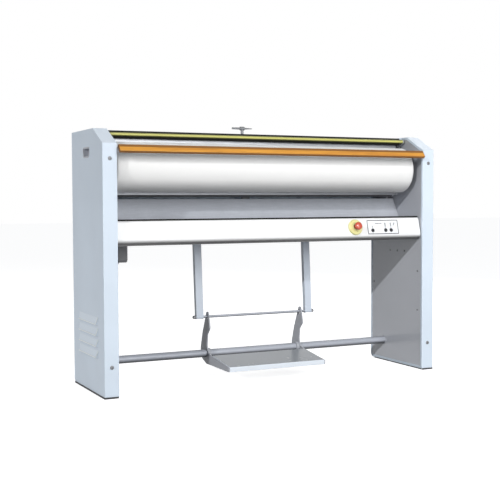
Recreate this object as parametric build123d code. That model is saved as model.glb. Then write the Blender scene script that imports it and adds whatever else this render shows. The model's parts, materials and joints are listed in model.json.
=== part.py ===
from build123d import *
from math import atan2, cos, degrees, hypot, radians, sin, tan
import os

os.makedirs("parts", exist_ok=True)

# Flatwork ironer, in millimetres.
# X runs along the roll, Y from the operator towards the back, Z up.
# The origin is the centre of the footprint, on the floor.
# A "setback" is a distance behind the front faces of the two cabinets.

# Cabinets
overall_width = 1540.0
cabinet_width = 59.0
cabinet_depth = 420.0
cabinet_height = 1050.0
slope_drop = 63.0
slope_depth = 123.0
heel_cut = 12.0
foot_height = 5.0
foot_inset = 6.0
sheet = 1.5
bend_radius = 2.5
rim_width = 12.0
panel_thickness = 4.0
panel_clearance = 0.3

# Louvres on the outer faces
louvre_count = 4
louvre_length = 250.0
louvre_height = 30.0
louvre_depth = 7.0
louvre_lip = 2.0
louvre_pitch = 43.7
louvre_setback = 205.0
first_louvre_height = 149.0

# Hand grips in the outer faces
grip_setback = 211.0
grip_drop = 75.0
grip_height = 34.0
grip_top_length = 86.0
grip_bottom_length = 69.0
grip_corner = 8.0
grip_depth = 26.0
grip_rim = 4.0
grip_rim_thickness = 1.0
grip_clearance = 0.2

# Screws
cover_screw_radius = 7.5
cover_screw_low = 122.0
cover_screw_drop = 122.5
panel_screw_radius = 5.0
upper_screw_setbacks = (141.0, 198.0)
right_screw_setback = 256.0
upper_screw_drop = 58.0
front_screw_setback = 38.5
front_screw_heights = (444.0, 267.5)
back_screw_inset = 28.0
back_screw_height = 373.5
tab_width = 30.0
tab_reach = 34.0

# Roll
roll_setback = 130.0
roll_drop = 151.0
roll_radius = 101.0
roll_left_gap = 11.0
roll_right_gap = 25.0
shoe_end_gap = 27.5
roll_shoulder = 9.8
cloth_thickness = 2.0
padding_thickness = 13.0
drum_wall = 4.0
drum_end_gap = 4.0
hub_thickness = 10.0
hem_depth = 26.0
shaft_radius = 15.0
running_clearance = 0.05
shaft_hole_margin = 4.0

# Bearings at the roll's ends
bearing_depth = 22.0
bearing_radius = 34.0
bearing_ear_spacing = 96.0
bearing_ear_radius = 14.0
bearing_bolt_radius = 5.0

# Belt drive in the left cabinet
roll_pulley_radius = 48.0
motor_pulley_radius = 24.0
pulley_width = 18.0
pulley_flange = 2.0
pulley_flange_rise = 5.0
pulley_web = 6.0
pulley_hub_wall = 8.0
pulley_rim_wall = 5.0
belt_thickness = 4.0
belt_clearance = 0.3
belt_margin = 0.5
pulley_gap = 3.0

# Gear motor under the left end of the housing
motor_reach = 90.0
motor_drop = 55.0
motor_radius = 50.0
motor_corner = 14.0
motor_length = 70.0
motor_cap_length = 38.0
motor_cap_chamfer = 3.0
terminal_box_reach = 68.0
terminal_box_height = 56.0
terminal_box_corner = 4.0
motor_fin_count = 3
motor_fin_depth = 5.0
gearbox_size = 112.0
gearbox_length = 54.0
gearbox_chamfer = 6.0
gearbox_flange = 8.0
gearbox_flange_size = 124.0
gearbox_flange_corner = 14.0
gusset_reach = 94.0
gusset_fall = 128.0
gusset_root = 12.0
gusset_thickness = 6.0
gusset_spacing = 60.0
gusset_clearance = 0.5
output_shaft_radius = 9.0

# Shoe: the heated chest that wraps the back of the roll
nip_gap = 1.0
shoe_thickness = 14.0
shoe_low_angle = -72.0
shoe_high_angle = 65.0
upper_lip_rise = 20.0
lower_lip_drop = 8.5
lip_thickness = 5.0
lip_shift = 2.0
lip_root_angle = 8.0
heater_radius = 6.0
heater_angles = (-42.0, -14.0, 14.0, 42.0)
insulation_thickness = 12.0
insulation_low_angle = -56.0
insulation_high_angle = 56.0

# Carrier that swings the shoe
pivot_reach = 80.0
pivot_drop = 279.0
pivot_pin_radius = 12.0
pivot_boss_radius = 24.0
pivot_shoulder_radius = 18.0
pivot_head_radius = 17.0
pivot_head_thickness = 5.0
pivot_thread_radius = 7.2
pivot_thread_length = 14.0
pivot_nut_height = 9.0
arm_thickness = 8.0
arm_edge = 16.0
arm_low_angle = -52.0
arm_high_angle = 52.0
arm_window_radius = 24.0
arm_roll_clearance = 1.0
arm_tray_clearance = 12.0
beam_inset = 95.0
beam_drop = 164.0
beam_size_y = 40.0
beam_size_z = 60.0
beam_wall = 3.0

# Drop levers and tie rod
mechanism_centre = 17.0
lever_offset = 37.0
lever_width = 33.0
lever_depth = 20.0
lever_wall = 3.0
lever_tail = 9.0
rod_lead = 18.0
rod_height = 261.5
rod_radius = 5.5
rod_overhang = 26.0
rod_cap_radius = 7.5
rod_cap_cover = 8.0
rod_cap_end = 4.0

# Stretcher tube
tube_setback = 309.0
tube_height = 99.0
tube_radius = 16.85
tube_wall = 3.0
plug_length = 20.0
tube_bolt_radius = 5.0

# Foot pedal
pedal_span = 462.0
pedal_bracket_thickness = 5.0
pedal_sheet = 3.0
pedal_hub_radius = 22.0
pedal_hub_length = 14.0
pedal_hub_clearance = 0.08
pedal_depth = 179.0
pedal_fall = 24.0
pedal_lead = 66.0
pedal_drop = 2.0
pedal_lip_height = 21.5
slot_clearance = 1.2
slot_travel = 8.0
slot_drop = 2.5

# Feed board
board_overhang = 24.0
board_rise = 57.5
board_width = 34.0
board_angle = 51.6
board_thickness = 14.0
board_end_gap = 5.0
board_edge_radius = 2.5
board_rail_thickness = 2.0
board_rail_lip = 16.0

# Finger guard
guard_lead = 17.0
guard_gap = 22.0
guard_radius = 8.0
guard_end_gap = 6.5
guard_arm_gap = 9.5
guard_arm_thickness = 3.0
guard_arm_reach = 39.0
guard_arm_drop = 19.0
guard_pin_radius = 4.0
guard_arm_radius = 10.0
guard_back_room = 4.5
guard_strip_thickness = 3.0
guard_strip_drop = 16.0
guard_switch_length = 40.0
guard_switch_height = 18.0
guard_switch_offset = 34.0
guard_switch_gap = 1.5

# Rear cover over the top and the back
rear_cover_step = 4.0
rear_cover_fall = 20.0
rear_cover_inset = 3.0
rear_cover_return = 25.0
rear_cover_end_gap = 0.5
vent_count = 14
vent_width = 4.0
vent_height = 60.0
vent_pitch = 16.0
vent_inset = 180.0
vent_drop = 70.0
cleat_size = 22.0
cleat_sheet = 2.0
cleat_length = 70.0
cleat_clearance = 0.2
back_cleat_rise = 160.0
flange_end_relief = 18.0

# Control housing
housing_drop = 213.0
housing_height = 98.0
fascia_top_setback = 32.0
fascia_low_setback = 6.5
fascia_top_radius = 9.0
fascia_low_radius = 26.0
housing_depth = 135.0
housing_return = 22.0
housing_end_gap = 3.0
spacer_radius = 8.0
spacer_inset = 25.0

# Catch tray
tray_front_setback = 45.0
tray_reach = 107.0
tray_slope_depth = 49.0
tray_lip_gap = 17.5
tray_hem = 4.0
tray_end_gap = 0.5
tray_bracket_start = 10.0
tray_bracket_end = 80.0
tray_bracket_size = 12.0
tray_bracket_clearance = 0.1

# Emergency stop and push buttons on the fascia
stop_inset = 342.0
stop_rise = 58.0
stop_base_radius = 34.0
stop_base_thickness = 10.0
stop_neck_radius = 11.0
stop_head_radius = 17.5
stop_head_height = 14.0
stop_reach = 40.0
stop_travel = 5.0
stop_neck_clearance = 1.0
stop_block_size = 32.0
stop_block_depth = 44.0
label_inset = 199.0
label_rise = 58.0
label_length = 161.0
label_width = 64.0
label_thickness = 0.8
button_insets = (253.0, 186.0, 157.5)
button_rise = 44.0
button_radius = 5.5
button_stem_radius = 3.5
button_reach = 6.0
button_clearance = 0.4
button_chamfer = 1.0
switch_depth = 32.0
switch_width = 20.0

# Hand screw with its crossbar and spring
screw_inset = 41.0
screw_bar_rise = 36.5
screw_radius = 6.5
screw_bar_length = 98.0
screw_bar_radius = 5.0
screw_hub_radius = 8.5
screw_reach = 46.0
crossbar_size = 40.0
crossbar_wall = 3.0
crossbar_drop = 42.0
screw_nut_radius = 14.0
screw_nut_collar = 7.0
screw_nut_tail = 4.0
screw_nut_chamfer = 2.0
nut_hole_clearance = 1.0
spring_radius = 13.0
spring_wire = 3.0
spring_rise = 107.0
lug_thickness = 6.0

# Electrical pieces
control_box_height = 215.0
control_box_depth = 200.0
control_box_width = 40.0
control_box_setback = 110.0
control_box_drop = 35.0
gland_height = 160.0
gland_radius = 11.0
gland_reach = 10.0
gland_bore = 4.5
gland_shank = 7.5
gland_nut = 8.0
gland_chamfer = 2.0

# Derived places
slope_start_height = cabinet_height - slope_drop
grip_top_height = cabinet_height - grip_drop
cover_screw_high = cabinet_height - cover_screw_drop
roll_height = cabinet_height - roll_drop
upper_lip_height = roll_height + roll_radius + upper_lip_rise
lower_lip_height = roll_height - roll_radius - lower_lip_drop
shoe_pivot_setback = roll_setback + pivot_reach
shoe_pivot_height = roll_height - pivot_drop
beam_setback = cabinet_depth - beam_inset
beam_height = roll_height - beam_drop
motor_setback = shoe_pivot_setback + motor_reach
motor_height = shoe_pivot_height - motor_drop
lever_spacing = pedal_span + 2 * lever_offset
rod_length = lever_spacing + 2 * rod_overhang
rod_setback = tube_setback - rod_lead
pedal_rear_setback = tube_setback - pedal_lead
pedal_front_setback = pedal_rear_setback - pedal_depth
pedal_rear_height = tube_height - pedal_drop
pedal_front_height = pedal_rear_height - pedal_fall
board_low_height = roll_height + board_rise
guard_setback = roll_setback + guard_lead
guard_height = roll_height + roll_radius + guard_gap + guard_radius
guard_pivot_setback = guard_setback + guard_arm_reach
guard_pivot_height = guard_height - guard_arm_drop
guard_strip_low = guard_height - guard_strip_drop
rear_cover_top = cabinet_height - rear_cover_step
rear_cover_bottom = shoe_pivot_height - rear_cover_fall
back_cleat_height = rear_cover_bottom + back_cleat_rise
housing_top = roll_height - housing_drop
housing_bottom = housing_top - housing_height
tray_top_setback = roll_setback + tray_reach
tray_bend_setback = tray_top_setback - tray_slope_depth
tray_top_height = lower_lip_height - tray_lip_gap
stop_height = housing_bottom + stop_rise
label_height = housing_bottom + label_rise
button_height = housing_bottom + button_rise
screw_setback = cabinet_depth - screw_inset
screw_bar_height = cabinet_height + screw_bar_rise
crossbar_height = cabinet_height - crossbar_drop
screw_low = crossbar_height - screw_reach
spring_low = beam_height + spring_rise
control_box_low = shoe_pivot_height - control_box_drop - control_box_height

front_y = board_overhang - (cabinet_depth + board_overhang + gland_reach) / 2
back_y = front_y + cabinet_depth
outer_x = overall_width / 2
rim_x = outer_x - cabinet_width
panel_x = rim_x + sheet
panel_back_x = panel_x + panel_thickness
stop_x = panel_x - stop_inset
label_x = panel_x - label_inset
button_x = [panel_x - inset for inset in button_insets]
roll_left_x = roll_left_gap - panel_x
roll_right_x = panel_x - roll_right_gap
shoe_half = panel_x - shoe_end_gap
arm_outer_x = shoe_half + arm_thickness
drum_radius = roll_radius - cloth_thickness - padding_thickness
padding_radius = roll_radius - cloth_thickness
shoe_radius = roll_radius + nip_gap
shoe_back_radius = shoe_radius + shoe_thickness
heater_seat_radius = shoe_back_radius + heater_radius
insulation_radius = heater_seat_radius + heater_radius
shoe_cover_radius = insulation_radius + insulation_thickness
tray_height = housing_top + sheet / 2
mechanism_plane = Plane.YZ.offset(mechanism_centre)


def place(setback, height):
    """Point in the YZ plane, from a setback and a height."""
    return (front_y + setback, height)


roll_axis = place(roll_setback, roll_height)
motor_axis = place(motor_setback, motor_height)
tube_axis = place(tube_setback, tube_height)
rod_axis = place(rod_setback, rod_height)
shoe_pivot = place(shoe_pivot_setback, shoe_pivot_height)
beam_axis = place(beam_setback, beam_height)
guard_axis = place(guard_setback, guard_height)
guard_pivot = place(guard_pivot_setback, guard_pivot_height)
screw_y = front_y + screw_setback
fascia_low_height = housing_bottom + sheet / 2
fascia_high_height = housing_top - sheet / 2
fascia_lean = atan2(fascia_top_setback - fascia_low_setback, fascia_high_height - fascia_low_height)


# Helpers ---------------------------------------------------------------

def along_x(section, x_low, x_high):
    """Extrude a section drawn in (Y, Z) from x_low to x_high."""
    return extrude(Plane.YZ.offset(x_low) * section, x_high - x_low, dir=(1, 0, 0))


def rod_along_x(radius, centre, x_low, x_high):
    """Round bar along X about a (Y, Z) centre."""
    return along_x(Pos(*centre) * Circle(radius), x_low, x_high)


def polygon(points):
    """Closed face through (Y, Z) points."""
    return make_face(Polyline(*points, close=True))


def folded(points, radii, thickness, x_low, x_high):
    """Bent sheet whose middle line runs through the (Y, Z) points."""
    line = FilletPolyline(*points, radius=radii)
    return along_x(trace(line, thickness), x_low, x_high)


def polar(centre, radius, angle):
    """Point at a radius and an angle in degrees from +Y towards +Z."""
    turn = radians(angle)
    return (centre[0] + radius * cos(turn), centre[1] + radius * sin(turn))


def sector(centre, r_low, r_high, angle_low, angle_high):
    """Ring sector in the YZ plane."""
    inner = CenterArc(centre, r_low, angle_low, angle_high - angle_low)
    outer = CenterArc(centre, r_high, angle_low, angle_high - angle_low)
    side_low = Line(inner @ 0, outer @ 0)
    side_high = Line(inner @ 1, outer @ 1)
    return make_face([inner, outer, side_low, side_high])


def stub(point, direction, radius, length):
    """Round stub that starts at a point and runs along a direction."""
    return Plane(origin=point, z_dir=direction) * Cylinder(
        radius, length, align=(Align.CENTER, Align.CENTER, Align.MIN)
    )


def pan_screw(point, direction, head_radius, shank_length):
    """Pan head on a surface, with its shank behind it."""
    head_height = head_radius * 0.45
    head = stub(point, direction, head_radius, head_height)
    head = chamfer(head.edges().group_by(Axis(point, direction))[-1], head_height * 0.5)
    behind = (-direction[0], -direction[1], -direction[2])
    return head + stub(point, behind, head_radius * 0.5, shank_length)


def on_fascia(x, height):
    """Plane on the fascia's outer surface, with its normal pointing out."""
    middle_y = front_y + fascia_low_setback + (height - fascia_low_height) * tan(fascia_lean)
    reach = sheet / 2
    origin = (x, middle_y - reach * cos(fascia_lean), height + reach * sin(fascia_lean))
    return Plane(origin=origin, x_dir=(1, 0, 0), z_dir=(0, -cos(fascia_lean), sin(fascia_lean)))


def both_sides(part):
    """A part on the left and its mirror image on the right, as separate solids."""
    return [part, mirror(part, about=Plane.YZ)]


# Cabinets --------------------------------------------------------------

def cabinet_outline(inset):
    """Side view of a cabinet, drawn in by an inset."""
    low = foot_height
    points = [
        (front_y, low),
        (front_y, slope_start_height),
        place(slope_depth, cabinet_height),
        (back_y, cabinet_height),
        (back_y, low + heel_cut),
        (back_y - heel_cut, low),
    ]
    face = polygon(points)
    if inset > 0:
        face = offset(face, -inset, kind=Kind.INTERSECTION)
    return face


def grip_outline(growth):
    """Four-sided grip opening, wider at the top."""
    centre_y = front_y + grip_setback
    low = grip_top_height - grip_height
    points = [
        (centre_y - grip_top_length / 2, grip_top_height),
        (centre_y + grip_top_length / 2, grip_top_height),
        (centre_y + grip_bottom_length / 2, low),
        (centre_y - grip_bottom_length / 2, low),
    ]
    face = fillet(polygon(points).vertices(), grip_corner)
    return offset(face, growth)


def louvre_wedge(low, wall):
    """Pressed hood, deepest at its open lower edge; wall > 0 gives the hollow inside it."""
    centre_y = front_y + louvre_setback
    end_slope = louvre_depth * 1.6
    drop = 1.0 if wall > 0 else 0.0
    base_x = -outer_x + wall
    lip_x = -outer_x - louvre_depth + wall
    height = louvre_height - 2 * wall + drop
    length = louvre_length - 2 * wall
    base = Pos(centre_y, low - drop + height / 2) * Rectangle(length, height)
    lip_height = louvre_lip + drop - wall
    lip_length = length - 2 * end_slope
    lip = Pos(centre_y, low - drop + lip_height / 2) * Rectangle(lip_length, lip_height)
    return loft([Plane.YZ.offset(base_x) * base, Plane.YZ.offset(lip_x) * lip])


def cabinet_cover():
    """Left outer cover: a deep folded pan with a rim on its inner side."""
    cover = along_x(cabinet_outline(0), -outer_x, -rim_x)
    sides = cover.faces().sort_by(Axis.X)
    cover = fillet(sides[0].edges() + sides[-1].edges(), bend_radius)
    hollow = along_x(cabinet_outline(sheet), -outer_x + sheet, -panel_x)
    cover -= fillet(hollow.faces().sort_by(Axis.X)[0].edges(), bend_radius - sheet)
    cover -= along_x(cabinet_outline(rim_width), -panel_x, -rim_x + sheet)
    cover -= along_x(grip_outline(grip_clearance), -outer_x - sheet, -outer_x + 2 * sheet)
    for index in range(louvre_count):
        low = first_louvre_height + index * louvre_pitch
        cover += louvre_wedge(low, 0)
        cover -= louvre_wedge(low, sheet)
    for height in (cover_screw_low, cover_screw_high):
        for y, direction in ((front_y, (0, 1, 0)), (back_y, (0, -1, 0))):
            hole_centre = (-(outer_x + rim_x) / 2, y, height)
            cover -= stub(hole_centre, direction, cover_screw_radius * 0.55, 2 * sheet)
    return cover


def panel_screw_places(side):
    """Places of the small panel screws; the gearbox takes the place of one on the left."""
    upper_height = housing_bottom - upper_screw_drop
    places = [place(setback, upper_height) for setback in upper_screw_setbacks]
    places += [place(front_screw_setback, height) for height in front_screw_heights]
    places.append(place(cabinet_depth - back_screw_inset, back_screw_height))
    if side > 0:
        places.append(place(right_screw_setback, upper_height))
    return places


def side_panel(side):
    """Structural plate, with bent tabs that the cover is screwed to."""
    panel = along_x(cabinet_outline(sheet + panel_clearance), -panel_back_x, -panel_x)
    holes = [
        (roll_axis, shaft_radius + shaft_hole_margin),
        (tube_axis, tube_bolt_radius + panel_clearance),
        (shoe_pivot, pivot_thread_radius),
    ]
    holes += [(spot, panel_screw_radius * 0.5) for spot in panel_screw_places(side)]
    if side < 0:
        holes.append((motor_axis, output_shaft_radius + shaft_hole_margin))
    for centre, radius in holes:
        panel -= rod_along_x(radius, centre, -panel_back_x - 1, -panel_x + 1)
    tab_x = -(outer_x + rim_x) / 2
    for height in (cover_screw_low, cover_screw_high):
        for y, inward in ((front_y + sheet, 1), (back_y - sheet, -1)):
            tab = Box(tab_reach, panel_thickness / 2, tab_width)
            tab = Pos(-panel_x - tab_reach / 2, y + inward * panel_thickness / 4, height) * tab
            hole_start = (tab_x, y - inward, height)
            tab -= stub(hole_start, (0, inward, 0), cover_screw_radius * 0.55, panel_thickness)
            panel += tab
    if side > 0:
        panel = mirror(panel, about=Plane.YZ)
    return panel


def grip_cup():
    """Left recessed hand grip, a shallow cup with a thin rim outside."""
    cup = along_x(grip_outline(0), -outer_x - grip_rim_thickness, -outer_x + grip_depth)
    cup += along_x(grip_outline(grip_rim), -outer_x - grip_rim_thickness, -outer_x)
    cup -= along_x(grip_outline(-sheet), -outer_x - 2 * sheet, -outer_x + grip_depth - sheet)
    return cup


def foot_rail():
    """Left foot rail under the cabinet."""
    length = cabinet_depth - 2 * foot_inset - heel_cut
    width = cabinet_width - 2 * foot_inset
    centre = (-(outer_x + rim_x) / 2, front_y + foot_inset + length / 2, foot_height / 2)
    rail = Pos(*centre) * Box(width, length, foot_height)
    return fillet(rail.edges().filter_by(Axis.Z), foot_inset)


def cover_screws():
    """Screws in the front and back edges of both covers."""
    screws = []
    for side in (-1, 1):
        for height in (cover_screw_low, cover_screw_high):
            for y, direction in ((front_y, (0, -1, 0)), (back_y, (0, 1, 0))):
                point = (side * (outer_x + rim_x) / 2, y, height)
                screws.append(pan_screw(point, direction, cover_screw_radius, sheet + panel_thickness))
    return screws


def panel_screws():
    """Small screws on the visible faces of both side panels."""
    screws = []
    for side in (-1, 1):
        for y, z in panel_screw_places(side):
            point = (side * panel_x, y, z)
            screws.append(pan_screw(point, (-side, 0, 0), panel_screw_radius, panel_thickness))
    return screws


# Roll ------------------------------------------------------------------

def roll_drum():
    """Steel tube of the roll."""
    inset = cloth_thickness + drum_end_gap
    drum = rod_along_x(drum_radius, roll_axis, roll_left_x + inset, roll_right_x - inset)
    return drum - rod_along_x(drum_radius - drum_wall, roll_axis, -outer_x, outer_x)


def roll_journal(roll_end, shaft_end):
    """End disc and stub shaft of a roll that ends at a distance to the right of the middle."""
    disc_end = roll_end - cloth_thickness - drum_end_gap
    inside = disc_end - hub_thickness
    disc = rod_along_x(drum_radius - drum_wall, roll_axis, inside, disc_end)
    hub = rod_along_x(shaft_radius * 2, roll_axis, disc_end, disc_end + drum_end_gap)
    hub_inner = rod_along_x(shaft_radius * 2, roll_axis, inside - 2 * hub_thickness, inside)
    shaft = rod_along_x(shaft_radius, roll_axis, disc_end, shaft_end)
    return disc + hub + hub_inner + shaft


def roll_journals():
    """Both journals; the left one reaches through the bearing to carry the pulley."""
    bearing_end = panel_back_x + bearing_depth + pulley_gap
    left = mirror(roll_journal(-roll_left_x, bearing_end + pulley_width), about=Plane.YZ)
    return [left, roll_journal(roll_right_x, bearing_end)]


def roll_padding():
    """Soft padding on the drum."""
    padding = rod_along_x(
        padding_radius, roll_axis, roll_left_x + cloth_thickness, roll_right_x - cloth_thickness
    )
    padding = chamfer(padding.edges(), roll_shoulder - cloth_thickness)
    return padding - rod_along_x(drum_radius, roll_axis, -outer_x, outer_x)


def roll_cloth():
    """Cloth cover, drawn in over the ends of the padding."""
    cloth = rod_along_x(roll_radius, roll_axis, roll_left_x, roll_right_x)
    cloth = fillet(cloth.edges(), roll_shoulder)
    core = rod_along_x(
        padding_radius, roll_axis, roll_left_x + cloth_thickness, roll_right_x - cloth_thickness
    )
    cloth -= chamfer(core.edges(), roll_shoulder - cloth_thickness)
    return cloth - rod_along_x(roll_radius - hem_depth, roll_axis, -outer_x, outer_x)


def bearing():
    """Left two-bolt flange bearing, behind the side panel."""
    y, z = roll_axis
    ears = [Pos(y, z + side * bearing_ear_spacing / 2) * Circle(bearing_ear_radius) for side in (-1, 1)]
    flange_edges = (Sketch() + ears + Pos(y, z) * Circle(bearing_radius)).edges()
    flange = along_x(make_hull(flange_edges), -panel_back_x - bearing_depth * 0.4, -panel_back_x)
    barrel = rod_along_x(bearing_radius, roll_axis, -panel_back_x - bearing_depth, -panel_back_x)
    housing = flange + barrel
    housing -= rod_along_x(
        shaft_radius + running_clearance, roll_axis, -panel_back_x - bearing_depth - 1, -panel_back_x + 1
    )
    return housing


def bearing_bolts():
    """Hex bolts through the bearings' ears."""
    bolts = []
    flange_x = panel_back_x + bearing_depth * 0.4
    for side in (-1, 1):
        for ear in (-1, 1):
            y = roll_axis[0]
            z = roll_axis[1] + ear * bearing_ear_spacing / 2
            hexagon = Pos(y, z) * RegularPolygon(bearing_bolt_radius * 1.8, 6)
            low = min(side * flange_x, side * (flange_x + bearing_bolt_radius))
            bolts.append(along_x(hexagon, low, low + bearing_bolt_radius))
    return bolts


# Drive -----------------------------------------------------------------

def pulley_centre_x():
    """Middle plane of the belt drive, in the left cabinet."""
    return -(panel_back_x + bearing_depth + pulley_gap + pulley_width / 2)


def pulley(centre, radius, bore):
    """Flat belt pulley with two flanges and a dished web."""
    middle = pulley_centre_x()
    low = middle - pulley_width / 2
    high = middle + pulley_width / 2
    wheel = rod_along_x(radius, centre, low, high)
    rim_radius = radius + pulley_flange_rise
    wheel += rod_along_x(rim_radius, centre, low, low + pulley_flange)
    wheel += rod_along_x(rim_radius, centre, high - pulley_flange, high)
    web_low = middle - pulley_web / 2
    web_high = middle + pulley_web / 2
    hub_radius = bore + pulley_hub_wall
    web_radius = radius - pulley_rim_wall
    if web_radius > hub_radius:
        dish = Circle(web_radius) - Circle(hub_radius)
        wheel -= along_x(Pos(*centre) * dish, low - 1, web_low)
        wheel -= along_x(Pos(*centre) * dish, web_high, high + 1)
    return wheel - rod_along_x(bore, centre, low - 1, high + 1)


def belt_band(growth):
    """Outline round both pulleys, grown outwards."""
    big = Pos(*roll_axis) * Circle(roll_pulley_radius + growth)
    small = Pos(*motor_axis) * Circle(motor_pulley_radius + growth)
    return make_hull((Sketch() + [big, small]).edges())


def drive_belt():
    """Flat belt round both pulleys."""
    half = pulley_width / 2 - pulley_flange - belt_margin
    band = belt_band(belt_clearance + belt_thickness) - belt_band(belt_clearance)
    return along_x(band, pulley_centre_x() - half, pulley_centre_x() + half)


def output_shaft():
    """Gear motor's output shaft, from the gearbox into the left cabinet."""
    low = pulley_centre_x() - pulley_width / 2
    return rod_along_x(output_shaft_radius, motor_axis, low, -panel_x)


def gearbox():
    """Gear case on the left side panel, with cut corners, a bolt flange and two gussets under it."""
    y, z = motor_axis
    case = Pos(y, z) * Rectangle(gearbox_size, gearbox_size)
    case = chamfer(case.vertices(), gearbox_size * 0.2)
    body = along_x(case, -panel_x, -panel_x + gearbox_length)
    body = chamfer(body.faces().sort_by(Axis.X)[-1].edges(), gearbox_chamfer)
    plate = Pos(y, z) * RectangleRounded(gearbox_flange_size, gearbox_flange_size, gearbox_flange_corner)
    body += along_x(plate, -panel_x, -panel_x + gearbox_flange)
    under = z - motor_radius - motor_fin_depth - gusset_clearance
    outline = [
        (0, gusset_root),
        (gearbox_length, gusset_root),
        (gearbox_length, 0),
        (gusset_reach, 0),
        (0, -gusset_fall),
    ]
    web = extrude(polygon(outline), amount=gusset_thickness / 2, both=True)
    for offset in (-gusset_spacing / 2, gusset_spacing / 2):
        body += Plane(origin=(-panel_x, y + offset, under), x_dir=(1, 0, 0), z_dir=(0, -1, 0)) * web
    return body - rod_along_x(
        output_shaft_radius + running_clearance, motor_axis, -panel_x - 1, -panel_x + gearbox_length / 2
    )


def motor():
    """Square motor: ribbed body, fan cowl and terminal box."""
    x_start = -panel_x + gearbox_length
    x_cap = x_start + motor_length - motor_cap_length
    body_size = 2 * motor_radius
    rib_size = body_size + 2 * motor_fin_depth
    body = along_x(Pos(*motor_axis) * RectangleRounded(body_size, body_size, motor_corner), x_start, x_cap)
    fin_pitch = (x_cap - x_start) / motor_fin_count
    rib = Pos(*motor_axis) * RectangleRounded(rib_size, rib_size, motor_corner)
    for index in range(motor_fin_count):
        fin_x = x_start + (index + 0.5) * fin_pitch
        body += along_x(rib, fin_x - fin_pitch / 4, fin_x + fin_pitch / 4)
    cowl = along_x(rib, x_cap, x_cap + motor_cap_length)
    cowl = chamfer(cowl.faces().sort_by(Axis.X)[-1].edges(), motor_cap_chamfer)
    length = motor_length - motor_cap_length
    box = Box(length, terminal_box_reach, terminal_box_height, align=(Align.MIN, Align.MIN, Align.CENTER))
    box = chamfer(box.faces().sort_by(Axis.Y)[-1].edges(), terminal_box_corner)
    return body + cowl + Pos(x_start, motor_axis[0], motor_axis[1]) * box


# Shoe and its carrier --------------------------------------------------

def shoe_section():
    """Concave plate with a flared upper lip and a dropped lower lip."""
    ring = sector(roll_axis, shoe_radius, shoe_back_radius, shoe_low_angle, shoe_high_angle)
    top_inner = polar(roll_axis, shoe_radius, shoe_high_angle)
    top_outer = polar(roll_axis, shoe_back_radius, shoe_high_angle)
    top_outer_low = polar(roll_axis, shoe_back_radius, shoe_high_angle - lip_root_angle)
    lip_y = top_inner[0] + lip_shift
    upper = polygon([
        top_inner,
        (lip_y, upper_lip_height),
        (lip_y + lip_thickness, upper_lip_height),
        top_outer_low,
        top_outer,
    ])
    low_inner = polar(roll_axis, shoe_radius, shoe_low_angle)
    low_outer = polar(roll_axis, shoe_back_radius, shoe_low_angle + lip_root_angle)
    lip_y = low_inner[0] - lip_shift
    lower = polygon([
        low_inner,
        (lip_y, lower_lip_height),
        (lip_y + lip_thickness, lower_lip_height),
        low_outer,
    ])
    return ring + upper + lower


def shoe():
    """Heated chest, with round seats for the heater rods in its back."""
    plate = along_x(shoe_section(), -shoe_half, shoe_half)
    for angle in heater_angles:
        centre = polar(roll_axis, heater_seat_radius, angle)
        plate -= rod_along_x(heater_radius, centre, -shoe_half - 1, shoe_half + 1)
    return plate


def heater_rods():
    """Heater rods along the back of the shoe."""
    half = shoe_half - heater_radius
    centres = [polar(roll_axis, heater_seat_radius, angle) for angle in heater_angles]
    return [rod_along_x(heater_radius, centre, -half, half) for centre in centres]


def shoe_insulation():
    """Insulation over the heater rods."""
    section = sector(
        roll_axis, insulation_radius, shoe_cover_radius, insulation_low_angle, insulation_high_angle
    )
    return along_x(section, -shoe_half + sheet, shoe_half - sheet)


def shoe_back_cover():
    """Sheet over the back of the insulation, turned in to the shoe at top and bottom."""
    back = sector(
        roll_axis,
        shoe_cover_radius,
        shoe_cover_radius + sheet,
        insulation_low_angle - 1,
        insulation_high_angle + 1,
    )
    for angle in (insulation_low_angle - 1, insulation_high_angle):
        back += sector(roll_axis, shoe_back_radius, shoe_cover_radius, angle, angle + 1)
    return along_x(back, -shoe_half, shoe_half)


def carrier_arm():
    """Left plate that joins the shoe, the beam and the pivot."""
    beam_eye = Pos(*beam_axis) * Circle(hypot(beam_size_y, beam_size_z) / 2 + 2 * beam_wall)
    pivot_eye = Pos(*shoe_pivot) * Circle(pivot_boss_radius)
    top_eye = Pos(*polar(roll_axis, shoe_back_radius + arm_edge, arm_high_angle)) * Circle(arm_edge)
    low_eye = Pos(*polar(roll_axis, shoe_back_radius, arm_low_angle)) * Circle(arm_edge)
    plate = make_hull((Sketch() + [beam_eye, pivot_eye]).edges())
    plate += make_hull((Sketch() + [beam_eye, top_eye, low_eye]).edges())
    plate -= Pos(*roll_axis) * Circle(shoe_radius + arm_roll_clearance)
    tray_end = place(tray_top_setback + tray_hem + arm_tray_clearance, tray_top_height + arm_tray_clearance)
    tray_room = Rectangle(roll_radius, roll_radius, align=Align.MAX)
    upper_corner = tray_room.vertices().group_by(Axis.Y)[-1].sort_by(Axis.X)[-1]
    plate -= Pos(*tray_end) * fillet(upper_corner, arm_edge / 2)
    plate -= Pos(*shoe_pivot) * Circle(pivot_pin_radius + running_clearance)
    window = ((shoe_pivot[0] + beam_axis[0]) / 2, (shoe_pivot[1] + beam_axis[1]) / 2)
    plate -= Pos(*window) * Circle(arm_window_radius)
    return along_x(plate, -arm_outer_x, -shoe_half)


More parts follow.
